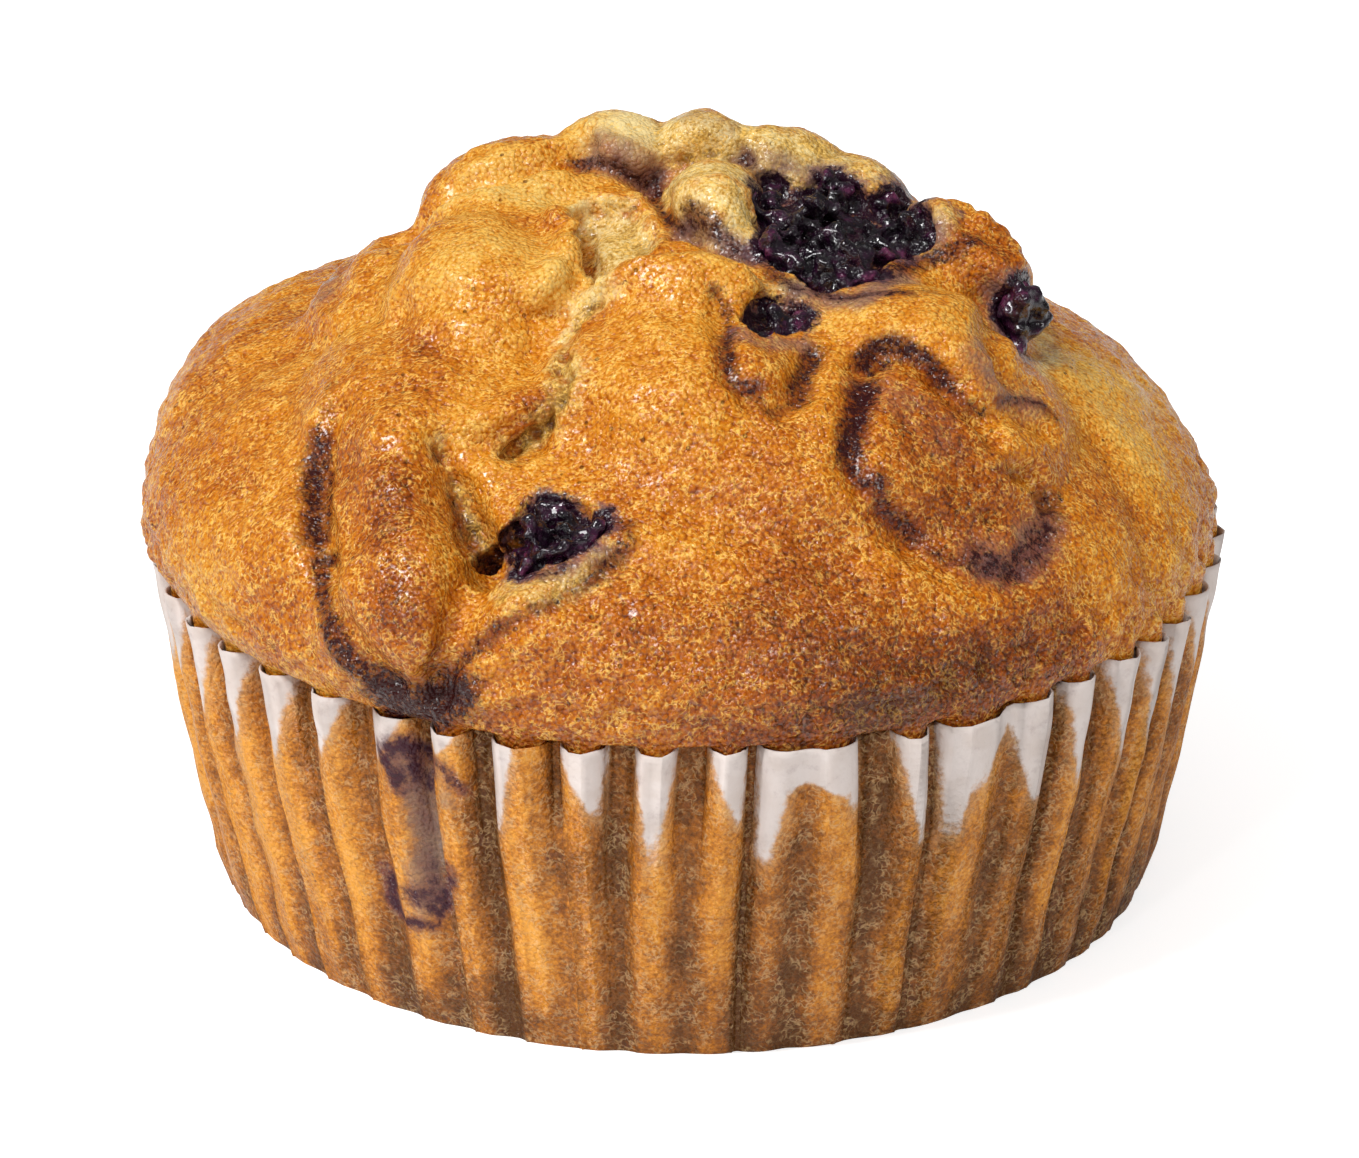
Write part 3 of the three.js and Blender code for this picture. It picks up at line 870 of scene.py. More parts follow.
# %% Tear in the trough
TROUGH_TEAR = [(447, 476), (455, 498), (464, 518), (473, 536), (482, 550)]
tear = sunk([hit_at(surface, *place) for place in TROUGH_TEAR], 0.55)
cut(crust, rough_string(tear, 0.85, "tear in the trough"))
done("trough torn")

# %% [markdown]
# ## The skin of the crust
#
# Everything that was cut and added is melted once more, finely, and roughened by three sizes of bumps: slow
# swells, bubbles under the skin and the baked grain itself. The part inside the case stays as it is.

# %% Fine skin
RIM_FROM, RIM_FADE = 28.6, 1.8  # above this height the skin gets its bumps, and how slowly they set in
LOW_SKIN, LOW_FADE = 36, 5  # below this height it is wrinkled as well
melt(crust, voxel=0.42, smoothing=1)
points = points_of(crust)
above_rim = np.clip((points[:, 2] - RIM_FROM) / RIM_FADE, 0, 1)
low_skin = above_rim * np.clip((LOW_SKIN - points[:, 2]) / LOW_FADE, 0, 1)
BUMPS = {  # where, and the size and height of the bumps in millimetres
    "swells": (above_rim, 7, 0.9),
    "bubbles": (above_rim, 2.6, 0.45),
    "wrinkles": (low_skin, 1.7, 1.25),
    "grain": (above_rim, 1.0, 0.3),
}
for name, (weights, size, height) in BUMPS.items():
    brush(crust, weights, height, cloud("crust " + name, size, noise_depth=1), mid_level=0.5)
done(f"crust of {len(crust.data.vertices)} points")

# %% [markdown]
# Deep in the case nobody sees the cake, and the pleats there would cost many thousand faces. So the crust
# is cut off just under the rim, and its open edge is extruded down to the floor as one plain, closed wall.

# %% Below the rim
CUT_AT, FOOT_AT = 25.4, 1.0  # heights
FOOT_SHARE = 36.5 / 39.6  # the foot's radius at the floor, as a share of that at the cut
select_only(crust)
bpy.ops.object.mode_set(mode="EDIT")
bpy.ops.mesh.select_all(action="SELECT")
bpy.ops.mesh.bisect(plane_co=(0, 0, CUT_AT * MM), plane_no=(0, 0, 1), clear_inner=True)
bpy.ops.mesh.extrude_region_move(TRANSFORM_OT_translate={"value": (0, 0, (FOOT_AT - CUT_AT) * MM)})
bpy.ops.transform.resize(value=(FOOT_SHARE, FOOT_SHARE, 1))
bpy.ops.mesh.edge_face_add()
bpy.ops.object.mode_set(mode="OBJECT")
bpy.ops.object.shade_smooth()
done(f"crust of {sum(len(face.vertices) - 2 for face in crust.data.polygons)} triangles")

# %% [markdown]
# ## Marks on the crust
#
# The crust's colour isn't one pattern. Juice ran and dried in lines, the crumb round each berry took up its
# purple, torn places are pale and exposed ones brown, and syrup glazed some folds. A painted picture of all
# that would be tied to one size. Here each is a number on every point, painted with soft lines, and the
# finish breaks the lines up at any scale.

# %% Juice
JUICE = [  # where juice ran and dried: path, width in millimetres and strength
    ([(333, 385), (329, 410), (323, 440)], 1.5, 0.5),
    ([(322, 440), (316, 470), (313, 505), (314, 540)], 2.2, 1.1),
    ([(330, 470), (332, 510), (326, 548)], 1.3, 0.75), ([(314, 540), (322, 560), (335, 560)], 1.4, 0.95),
    ([(320, 562), (322, 590), (330, 625)], 1.6, 0.95),
    ([(330, 625), (345, 655), (368, 676), (392, 690)], 2.1, 1.15),
    ([(388, 690), (410, 706), (432, 708), (455, 692)], 3.6, 1.45),
    ([(398, 708), (405, 724), (412, 738)], 2.8, 1.4),
    ([(445, 692), (458, 668), (478, 645), (500, 628)], 1.5, 0.8),
    ([(425, 690), (432, 665), (440, 640)], 1.6, 0.6),
    ([(500, 628), (530, 612), (562, 600), (590, 582)], 1.3, 0.66),
    ([(590, 582), (608, 566), (626, 545), (624, 530)], 1.5, 0.85), ([(434, 455), (445, 466)], 1.0, 0.85),
    # painted shadow: this line darkens the trough beside the glossy fold
    ([(448, 494), (460, 524), (476, 552), (487, 566)], 1.2, 0.72),
    ([(713, 290), (725, 306), (729, 332)], 1.2, 0.8),
    ([(729, 332), (727, 352), (731, 374), (742, 388), (756, 388)], 1.6, 0.95),
    ([(756, 388), (765, 410), (780, 414), (793, 408)], 1.1, 0.72),
    ([(813, 355), (808, 372), (796, 388), (800, 402)], 1.9, 1.0),
    ([(862, 364), (874, 352), (890, 346), (905, 350)], 1.8, 1.2),
    ([(905, 350), (925, 360), (945, 382)], 1.6, 1.15), ([(945, 382), (962, 402), (980, 414)], 1.2, 0.75),
    ([(862, 368), (872, 372), (880, 366)], 1.6, 0.95),
    ([(864, 388), (858, 412), (850, 436), (848, 458)], 2.3, 1.3),
    ([(848, 458), (856, 476), (868, 482), (880, 484)], 1.6, 1.05),
    ([(874, 484), (884, 508), (900, 526), (915, 535)], 1.8, 0.95),
    ([(930, 552), (955, 562), (980, 564)], 1.3, 0.72),
    ([(975, 558), (1005, 572), (1028, 558), (1042, 535), (1046, 505)], 2.7, 0.95),
    ([(1000, 585), (1020, 578)], 1.4, 0.6), ([(996, 470), (1018, 476)], 1.2, 0.66),
    ([(1000, 402), (1022, 398), (1040, 404), (1054, 418)], 1.1, 0.86),
    ([(578, 166), (600, 162), (618, 166), (640, 180), (656, 190)], 1.5, 1.05),
    ([(655, 178), (657, 198), (664, 218), (682, 228), (700, 222)], 1.4, 1.05),
    ([(700, 222), (716, 232), (738, 250), (758, 258)], 1.5, 1.0), ([(684, 210), (694, 222)], 1.2, 0.9),
    ([(692, 208), (702, 217), (716, 226)], 1.5, 0.95), ([(748, 158), (756, 176), (758, 196)], 1.7, 0.9),
    ([(756, 262), (775, 275), (795, 290)], 1.6, 0.9),
    ([(818, 292), (850, 298), (880, 292), (908, 294)], 1.5, 0.95),
    ([(880, 280), (905, 265), (930, 256), (955, 250), (975, 238)], 1.8, 1.0),
    ([(925, 292), (945, 298)], 1.0, 0.6), ([(1004, 318), (1010, 340), (1022, 356)], 1.3, 0.8),
    ([(515, 572), (540, 576), (565, 566)], 1.3, 0.85), ([(608, 520), (628, 526), (632, 545)], 1.3, 0.8),
    # painted shade: this line darkens the second hole
    ([(506, 543), (494, 554)], 1.2, 0.9),
]
done(f"{len(JUICE)} lines of juice")

# %% Blush
BLUSH = [  # greyish purple that has soaked into the crumb round the berries: path, width and strength
    ([(598, 152), (620, 156), (650, 172)], 2.6, 0.85),
    ([(745, 160), (775, 160), (805, 170), (835, 168)], 2.0, 0.7),
    ([(690, 232), (715, 240), (760, 262)], 2.4, 0.7), ([(800, 290), (860, 300), (905, 280)], 2.2, 0.8),
    ([(900, 182), (925, 200), (936, 228)], 2.2, 0.8), ([(738, 335), (765, 342), (800, 342)], 1.8, 0.6),
    ([(1004, 290), (1006, 325), (1020, 355)], 2.4, 0.95),
    ([(980, 350), (1000, 385), (1030, 400)], 3.0, 0.6), ([(505, 575), (560, 575), (600, 552)], 1.5, 0.6),
    ([(335, 250), (340, 270), (325, 300)], 2.4, 0.6), ([(985, 560), (1020, 560), (1040, 530)], 3.6, 0.6),
    ([(690, 118), (730, 128)], 2.0, 0.5), ([(870, 380), (900, 400), (940, 440)], 4.0, 0.4),
    ([(1052, 345), (1045, 365)], 1.8, 0.5),
]
done(f"{len(BLUSH)} places with blush")

# %% Torn places
TORN = [  # torn open, so that the pale inside shows: path, width and strength
    ([(600, 284), (590, 298), (578, 312)], 2.2, 0.9), ([(574, 318), (564, 338), (560, 352)], 1.5, 0.8),
    ([(562, 358), (568, 376), (566, 394)], 2.2, 0.85), ([(560, 404), (552, 420), (540, 432)], 1.8, 0.8),
    ([(530, 438), (518, 446), (508, 456)], 1.6, 0.85), ([(672, 185), (700, 170), (740, 172)], 3.0, 1.0),
    ([(680, 205), (735, 200), (745, 230)], 3.2, 1.0), ([(690, 224), (725, 232)], 2.0, 1.0),
    ([(508, 592), (545, 590), (585, 572), (600, 560)], 2.3, 0.75),
    ([(640, 125), (700, 132), (760, 150), (830, 160)], 4.6, 1.1), ([(850, 165), (895, 178)], 3.0, 0.8),
    ([(936, 215), (950, 212)], 1.7, 0.7), ([(430, 450), (440, 445)], 1.2, 0.6),
    ([(450, 480), (468, 526), (484, 552)], 1.5, 0.7), ([(755, 275), (795, 288)], 1.5, 0.8),
    ([(915, 250), (935, 246)], 1.2, 0.75), ([(1040, 330), (1050, 350), (1042, 372)], 1.8, 0.7),
]
done(f"{len(TORN)} torn places")

# %% Toast
TOAST = [  # browner, or paler, parts of the crust: path, reach in millimetres, and how much
    # the first line darkens the crust and its crumb along the main crack
    ([(583, 314), (563, 350), (564, 392), (542, 428), (510, 452)], 1.6, 0.16),
    ([(425, 240), (450, 215), (500, 205), (550, 216)], 1.6, 0.14), ([(500, 395), (540, 405)], 2.0, 0.14),
    ([(405, 330), (420, 350)], 2.0, 0.12), ([(430, 300), (470, 320), (500, 350), (470, 420)], 3.5, -0.12),
    ([(480, 240), (530, 245), (560, 275)], 4.5, -0.3), ([(440, 270), (400, 305)], 5, -0.1),
    ([(505, 425), (545, 405)], 3.2, 0.12), ([(500, 340), (540, 350), (520, 390), (480, 400)], 4, -0.12),
    ([(500, 172), (470, 200), (540, 200)], 5.0, -0.36), ([(425, 150), (450, 160), (520, 140)], 4.5, 0.04),
    ([(590, 125), (630, 122)], 3.5, -0.34), ([(700, 290), (640, 300), (650, 330)], 4.5, -0.14),
    ([(740, 350), (745, 370)], 3.5, 0.12), ([(700, 430), (790, 440)], 6.0, 0.04),
    ([(830, 310), (870, 325), (930, 300)], 5, -0.1), ([(480, 330), (450, 380), (420, 340)], 6, 0.06),
    ([(560, 500), (540, 480)], 3, -0.05), ([(995, 235), (1010, 262)], 3.5, 0.2),
    ([(985, 280), (1000, 310)], 3.0, 0.12), ([(910, 400), (950, 450), (920, 500)], 6.5, 0.22),
    ([(1000, 470), (990, 520)], 4.0, 0.06), ([(1048, 468)], 2.5, 0.25),
    ([(340, 460), (380, 540), (410, 660)], 4.5, 0.08), ([(395, 480), (400, 600)], 3.5, 0.2),
    ([(700, 190), (730, 200)], 4.5, -0.04), ([(520, 650), (560, 620)], 4.0, -0.05),
    ([(600, 640), (720, 680), (850, 660)], 9, 0.18),
    ([(430, 725), (560, 748), (700, 750), (850, 740)], 4.5, 0.26),
    ([(900, 715), (980, 690), (1060, 660)], 5, 0.26), ([(780, 560), (880, 620), (1000, 620)], 12, 0.12),
    ([(1080, 600), (1130, 540), (1180, 470)], 9, 0.03), ([(980, 650), (1010, 640)], 3, 0.15),
    ([(1150, 380), (1180, 440)], 5, -0.1), ([(240, 400), (270, 460)], 7, 0.02),
    # painted light: the second line here makes the right side paler, against the shade the light from the
    # left leaves
    ([(200, 480), (230, 520)], 6, 0.04), ([(1095, 370), (1120, 420), (1150, 450)], 6.5, -0.22),
    ([(180, 560), (220, 620), (300, 690)], 4.5, -0.08), ([(160, 450), (175, 520)], 4, 0.02),
    ([(270, 620), (330, 690)], 4, 0.05),
]
done(f"{len(TOAST)} browner or paler places")

# %% Gloss
GLOSS = [  # where syrup has glazed the crust: path, width and strength
    ([(395, 440), (400, 520), (400, 600), (420, 670)], 5.5, 0.6),
    ([(450, 460), (500, 480), (560, 590)], 4, 0.8), ([(600, 200), (640, 230), (600, 270)], 4, 0.8),
    ([(680, 210), (730, 230)], 4, 0.9), ([(430, 300), (500, 260), (560, 240)], 5, 0.7),
    ([(480, 330), (450, 400)], 6, 0.4), ([(560, 620), (620, 640), (700, 700)], 8, 0.6),
    ([(740, 320), (800, 370)], 5, 0.6), ([(600, 320), (700, 320), (640, 400)], 6, 0.5),
    ([(870, 400), (900, 560)], 5, 0.5), ([(1150, 420), (1170, 540)], 7, 0.5),
    ([(480, 690), (600, 720)], 6, 0.7),
]
done(f"{len(GLOSS)} glazed places")

# %% [markdown]
# Each table becomes one number on every point. What depends on depth comes from the shapes themselves: the
# scooped hollow is crumb, the second hole is darkened in the juice's colour as painted shade, the holes and
# the tear are darkened as painted shade, and the crumb nearest to each pulp is dyed. The relief, how far a
# point stands out of a smoothed copy of the crust, paints shade: it keeps the raised grain pale and the
# creases dark.

# %% Painting the crust
DYE_REACH = 2.2  # how far the purple goes from a pulp
TOAST_SPREAD = 1.3
RELIEF_FULL = 0.3  # a point this far out of the smoothed crust counts as fully raised


def nearness(surface_tree, points, lines, scale=1.0):
    """The strongest of several soft lines at each point."""
    value = np.zeros(len(points))
    for path, width, strength in lines:
        distance = distance_to(points, seen(surface_tree, path))
        value = np.maximum(value, strength * np.clip(1.25 - distance / (scale * width), 0, 1))
    return value


points = points_of(crust)
hollow_spots = spread(surface, HOLLOW, 0.6, 0.8)
near_hollow = soft(gap_to(points, sunk(hollow_spots, 0.4) + sunk(hollow_spots, 2), 3), 1.9)
near_hole = soft(gap_to(points, sunk(second_hole, 1.0) + sunk(second_hole, 2.4), 3), 1.9)
# painted shade: darkest in the small holes of the crack and along the tear
toast, dye, painted_crevice_shade = np.zeros(len(points)), np.zeros(len(points)), soft(distance_to(points, tear), 1.6)
for path, reach, amount in TOAST:
    toast += amount * soft(distance_to(points, seen(surface, path)), TOAST_SPREAD * reach)
for pulp in pulps.values():
    dye = np.maximum(dye, 1 - gap_to(points, points_of(pulp)[::5], DYE_REACH) / DYE_REACH)
for middle, radius in pit_middles:
    painted_crevice_shade = np.maximum(painted_crevice_shade, soft(distance_to(points, [middle]), 1.5 * radius))

select_only(crust)
bpy.ops.object.duplicate()
softer = bpy.context.object
modify(softer, "SMOOTH", factor=0.5, iterations=14)
normals = np.empty(3 * len(points), np.float32)
crust.data.vertices.foreach_get("normal", normals)
relief = ((points - points_of(softer)) * normals.reshape(-1, 3)).sum(axis=1)
bpy.data.objects.remove(softer)

marks = {
    # the juice number also paints shade into the second hole
    "juice": np.maximum(nearness(surface, points, JUICE, 0.75), 2.6 * near_hole),
    "painted_crevice_shade": painted_crevice_shade,
    "blush": nearness(surface, points, BLUSH),
    "gloss": nearness(surface, points, GLOSS),
    "crumb": np.maximum(nearness(surface, points, TORN), 1.2 * near_hollow),
    "toast": toast,
    "dye": dye,
    "relief": np.clip(relief / RELIEF_FULL, -1, 1),
}
for name, values in marks.items():
    mark(crust, name, values)
done(f"crust marked with {', '.join(marks)}")

# %% [markdown]
# ## Marks on the paper
#
# One berry's juice ran over the rim and down two pleats. It dried darkest along its edges, with a thin veil
# between them. Long lines darken the paper, partly where batter soaked through and partly as painted shade
# along the pleats. The lines are found from the camera as on the crust, and kept to the front, because the
# case is only a thin shell and its far side lies close behind.

# %% Juice, soaking and painted shade on the paper
PAPER_JUICE = [  # path, width in millimetres and strength
    ([(378, 747), (384, 760), (392, 772), (400, 788)], 1.1, 1.0),
    ([(390, 748), (404, 745), (414, 754), (416, 776)], 1.3, 0.95),
    ([(426, 750), (434, 764), (430, 784)], 1.0, 0.75),
    ([(432, 752), (442, 766), (452, 780), (462, 792)], 0.8, 0.85),
    ([(414, 776), (424, 800), (430, 830)], 1.0, 0.5), ([(384, 862), (394, 868)], 0.8, 0.6),
    ([(392, 878), (392, 898), (402, 914), (416, 926), (436, 920), (447, 900), (451, 874)], 0.9, 1.0),
    ([(410, 894), (432, 890)], 1.6, 0.8), ([(426, 850), (434, 876)], 1.2, 0.5),
]
PAPER_VEIL = [
    ([(404, 756), (422, 790), (430, 840), (426, 900)], 2.2, 1.0), ([(436, 768), (446, 800)], 1.6, 0.7),
]
# dark lines down the front pleats, partly soaked batter and partly painted shade: path, width and strength
PAPER_SOAK_AND_SHADE = [
    ([(682, 860), (688, 960)], 1.9, 0.22), ([(800, 860), (806, 960)], 3.0, 0.24),
    ([(756, 900), (760, 1000)], 2.0, 0.14), ([(900, 860), (905, 960)], 2.0, 0.14),
    ([(560, 860), (565, 960)], 1.6, 0.16), ([(470, 800), (474, 900)], 1.6, 0.1),
]
points = points_of(paper)
facing_out = points[:, 1] < 0
for name, lines in (("juice", PAPER_JUICE), ("veil", PAPER_VEIL), ("soak_and_painted_shade", PAPER_SOAK_AND_SHADE)):
    mark(paper, name, nearness(paper_tree, points, lines) * facing_out)
done("paper marked")

# %% [markdown]
# ## Finishes
#
# A finish is a small machine of nodes. Placed by hand each node is one click, and in code it would be five
# lines, so these helpers keep each step on one line: a node is made, its inputs are linked or set, and its
# output is handed on.


# %% Helpers for finishes
def srgb(red, green, blue):
    """A colour given as it looks, from 0 to 255, as the linear colour that a shader needs."""
    parts = [c / 255 for c in (red, green, blue)]
    return tuple(c / 12.92 if c < 0.04 else ((c + 0.055) / 1.055) ** 2.4 for c in parts) + (1,)


class Finish:
    """The node tree of a material, or of a shader node group."""

    def __init__(self, tree):
        self.tree = tree

    def feed(self, socket, value):
        """Links a socket to another node's output, or sets it."""
        if isinstance(value, bpy.types.NodeSocket):
            self.tree.links.new(value, socket)
        else:
            socket.default_value = value

    def node(self, kind, inputs, **settings):
        """Adds a node with these settings and inputs."""
        node = self.tree.nodes.new(kind)
        for setting, value in settings.items():
            setattr(node, setting, value)
        for key, value in inputs.items():
            self.feed(node.inputs[key], value)
        return node

    def attribute(self, name):
        """A number that was marked on the points."""
        return self.node("ShaderNodeAttribute", {}, attribute_name=name).outputs["Fac"]

    def place(self):
        """The place on the piece, in metres."""
        return self.node("ShaderNodeTexCoord", {}).outputs["Object"]

    def stretched(self, x, y, z):
        """The place with each direction scaled, so that a pattern is drawn out along the others."""
        return self.node("ShaderNodeMapping", {"Vector": self.place(), "Scale": (x, y, z)}).outputs[0]

    def measured(self, size):
        """The place, counted in steps of this size in millimetres."""
        inputs = {0: self.place(), "Scale": self.math("DIVIDE", 1 / MM, size)}
        return self.node("ShaderNodeVectorMath", inputs, operation="SCALE").outputs[0]

    def noise_at(self, vector, scale, detail=2, rough=0.5, warp=0.0):
        """Cloudy noise at a place, from 0 to 1."""
        return self.node("ShaderNodeTexNoise", {
            "Vector": vector, "Scale": scale, "Detail": detail, "Roughness": rough, "Distortion": warp,
        }).outputs["Fac"]

    def noise(self, size, detail=2, rough=0.5, vector=None):
        """Cloudy noise with features of about this size in millimetres."""
        return self.noise_at(vector or self.place(), 1 / (size * MM), detail, rough)

    def cells(self, vector, scale):
        """The distance to the middle of the nearest of many cells."""
        return self.node("ShaderNodeTexVoronoi", {"Vector": vector, "Scale": scale}).outputs["Distance"]

    def pores(self, size, low, high, patches):
        """Small round holes, in patches where this mask is strong."""
        holes = self.band(self.cells(self.place(), 1 / (size * MM)), low, high, 1, 0)
        return self.times(holes, patches)

    def math(self, operation, *values):
        """One sum on numbers."""
        return self.node("ShaderNodeMath", dict(enumerate(values)), operation=operation).outputs[0]

    def times(self, first, *others):
        """The product of several numbers."""
        for other in others:
            first = self.math("MULTIPLY", first, other)
        return first

    def plus(self, first, *others):
        """The sum of several numbers."""
        for other in others:
            first = self.math("ADD", first, other)
        return first

    def swing(self, share, value):
        """Noise from 0 to 1, made to swing round 0 and then scaled."""
        return self.times(share, self.math("SUBTRACT", value, 0.5))

    def band(self, value, low, high, to_low=0.0, to_high=1.0):
        """Fades from one value to another between two limits."""
        return self.node("ShaderNodeMapRange", {
            "Value": value, "From Min": low, "From Max": high, "To Min": to_low, "To Max": to_high,
        }, interpolation_type="SMOOTHSTEP").outputs["Result"]

    def mix(self, mask, under, over):
        """One colour over another where the mask says."""
        node = self.node("ShaderNodeMix", {}, data_type="RGBA")
        for index, value in ((0, mask), (6, under), (7, over)):
            self.feed(node.inputs[index], value)
        return node.outputs[2]

    def glaze(self, share, mask, under, over):
        """One colour over another, never more than a share of it."""
        return self.mix(self.times(share, mask), under, over)

    def ramp(self, value, stops):
        """A row of colours that a value picks from."""
        node = self.node("ShaderNodeValToRGB", {"Fac": value})
        elements = node.color_ramp.elements
        while len(elements) < len(stops):
            elements.new(1.0)
        for element, (position, colour) in zip(elements, stops):
            element.position, element.color = position, srgb(*colour)
        return node.outputs["Color"]

    def group(self, shared, **inputs):
        """Places a shared group with its own values."""
        node = self.node("ShaderNodeGroup", {}, node_tree=shared)
        for name, value in inputs.items():
            self.feed(node.inputs[name], value)
        return node.outputs

    def roughen(self, shader, height, depth):
        """Lets a height, this deep in millimetres, tilt the surface for the light."""
        bump = self.node("ShaderNodeBump", {"Height": height, "Strength": 1.0, "Distance": depth * MM})
        self.feed(shader.inputs["Normal"], bump.outputs["Normal"])


def new_material(name, **constants):
    """A material whose even values are set on the shader itself."""
    material = bpy.data.materials.new(name)
    material.use_nodes = True
    shader = material.node_tree.nodes["Principled BSDF"]
    for socket, value in constants.items():
        shader.inputs[socket.replace("_", " ")].default_value = value
    return material, Finish(material.node_tree), shader


def shared_group(name, inputs, outputs):
    """A shader node group with named inputs and outputs."""
    tree = bpy.data.node_groups.new(name, "ShaderNodeTree")
    for socket, default in inputs.items():
        made = tree.interface.new_socket(socket, in_out="INPUT", socket_type="NodeSocketFloat")
        made.default_value = default
    for socket in outputs:
        tree.interface.new_socket(socket, in_out="OUTPUT", socket_type="NodeSocketFloat")
    taken, given = tree.nodes.new("NodeGroupInput").outputs, tree.nodes.new("NodeGroupOutput").inputs
    return tree, Finish(tree), taken, given


def finished(material):
    """Prints how large a finish has become."""
    done(f"{material.name} of {len(material.node_tree.nodes)} nodes")


# %% [markdown]
# ## Grain
#
# Sugar and starch on a baked skin set as tiny domes with curled ridges between them, and wet pulp and paper
# that batter has soaked have the same grain, finer or coarser. So it is one group with a size of its own:
# cells give the domes, and the line where a warped noise passes its middle value gives the curls. Mottle
# and speck are slower and quicker noise for colour and gloss.

# %% Grain, shared by all three finishes
grain, g, taken, given = shared_group(
    "baked grain", {"Size": 0.5, "Ridges": 0.3}, ["Height", "Mottle", "Speck", "Curl"])
steps = g.measured(taken["Size"])
gap = g.cells(steps, 1.0)
domes = g.math("SUBTRACT", 1.0, g.times(2.0, gap, gap))
curl = g.noise_at(steps, 0.7, 1.5, 0.5, warp=0.5)
off_line = g.math("ABSOLUTE", g.math("SUBTRACT", curl, 0.5))
ridge = g.math("SUBTRACT", 1.0, g.math("MINIMUM", 1.0, g.times(8.0, off_line)))
g.feed(given["Height"], g.plus(g.times(taken["Ridges"], ridge), g.times(0.5, domes)))
g.feed(given["Curl"], g.times(ridge, ridge))
g.feed(given["Mottle"], g.noise_at(steps, 0.2, 4, 0.65))
g.feed(given["Speck"], g.math("SUBTRACT", g.noise_at(steps, 1.2, 2, 0.6), 0.5))
done(f"baked grain of {len(grain.nodes)} nodes")

# %% [markdown]
# ## Ragged edges
#
# No mark on food ends in a clean line: it creeps from crumb to crumb. A mark's number falls off smoothly,
# so noise is added to it before a limit decides where the mark ends. The same group serves the crust and
# the paper.

# %% Ragged edges, shared by the crust and the paper
ragged, g, taken, given = shared_group(
    "ragged edge", {"Value": 0, "Size": 1, "Amount": 0.5, "Low": 0.3, "High": 0.6}, ["Mask"])
torn = g.swing(taken["Amount"], g.noise_at(g.measured(taken["Size"]), 1.0, 5, 0.7))
g.feed(given["Mask"], g.band(g.plus(taken["Value"], torn), taken["Low"], taken["High"]))


def ragged_mark(finish, name, size, amount, low, high):
    """Where a mark is strong, with its edge torn by noise of this size in millimetres."""
    value = finish.attribute(name)
    return finish.group(ragged, Value=value, Size=size, Amount=amount, Low=low, High=high)["Mask"]


done(f"ragged edge of {len(ragged.nodes)} nodes")

# %% [markdown]
# ## The baked crust
#
# A crust browns by how hot and how dry each spot became: golden where it is protected, nearly black at the
# edges. So one number, the bake, adds up the toast, noise of three sizes and the relief, which paints shade
# into the creases, and a row of browns turns it into colour. Pale curls painted as glints, and pores, lie
# over the brown.

# %% Crust: the bake
crust_finish, f, shader = new_material(
    "baked crust", Specular_IOR_Level=0.35, Coat_Roughness=0.22, Coat_IOR=2.0)
fine = f.group(grain, Size=0.36, Ridges=0.15)
bake = f.plus(
    f.attribute("toast"),
    f.band(f.noise(9, 3, 0.6), 0.3, 0.7, 0.44, 0.66),
    f.swing(0.22, f.noise(1.6, 3, 0.6)),
    f.times(-0.28, fine["Height"]),
    f.times(-0.6, fine["Speck"]),
    # painted shade: the relief darkens the creases and lightens the raised grain
    f.times(-0.14, f.attribute("relief")))
skin = f.ramp(bake, [
    (0.0, (228, 190, 108)), (0.2, (224, 162, 62)), (0.4, (208, 126, 18)), (0.6, (178, 90, 6)),
    (0.8, (136, 60, 6)), (1.0, (84, 36, 8)),
])
pores = f.pores(1.5, 0.08, 0.14, f.band(f.noise(5), 0.47, 0.58))
skin = f.glaze(0.7, pores, skin, srgb(88, 42, 10))
finished(crust_finish)

# %% [markdown]
# Torn crumb is pale and spongy, and painted shade makes it darker in its creases and darkest in the small
# holes and along the tear. It replaces the skin where the crumb's number is high, and pale curls painted as
# glints then lie over both.

# %% Crust: the torn crumb and the painted glints
crumb_mask = ragged_mark(f, "crumb", 1.1, 2.0, 0.15, 1.0)
sponge = f.plus(f.noise(1.3, 4, 0.65), f.times(1.1, fine["Speck"]))
sponge = f.math("SUBTRACT", sponge, f.attribute("toast"))
inner = f.ramp(sponge, [(0.3, (168, 126, 54)), (0.45, (210, 168, 84)), (0.7, (236, 212, 150))])
# painted shade: the crumb darker in its creases, and darkest in the holes and along the tear
inner = f.mix(f.band(f.attribute("relief"), 0.0, -0.7), inner, srgb(126, 92, 36))
inner = f.glaze(0.85, f.attribute("painted_crevice_shade"), inner, srgb(92, 62, 24))
skin = f.mix(crumb_mask, skin, inner)
# painted glints: pale curls on the grain, standing for the highlights of the wet crust
painted_glints = f.times(fine["Curl"], f.band(f.noise(1.1, 2, 0.7), 0.42, 0.6, 0.12, 0.85))
painted_glints = f.times(painted_glints, f.band(bake, 0.45, 0.95, 1.0, 0.3))
skin = f.mix(painted_glints, skin, srgb(252, 200, 96))
finished(crust_finish)

# %% [markdown]
# Juice dries to nearly black where it was thick, with a red-brown halo where it was thin, and it greys the
# crumb that it only tinted. Two ragged edges of different width on one number give the line and its halo.
# The same number also paints shade, darkening the second hole and a line along the trough.

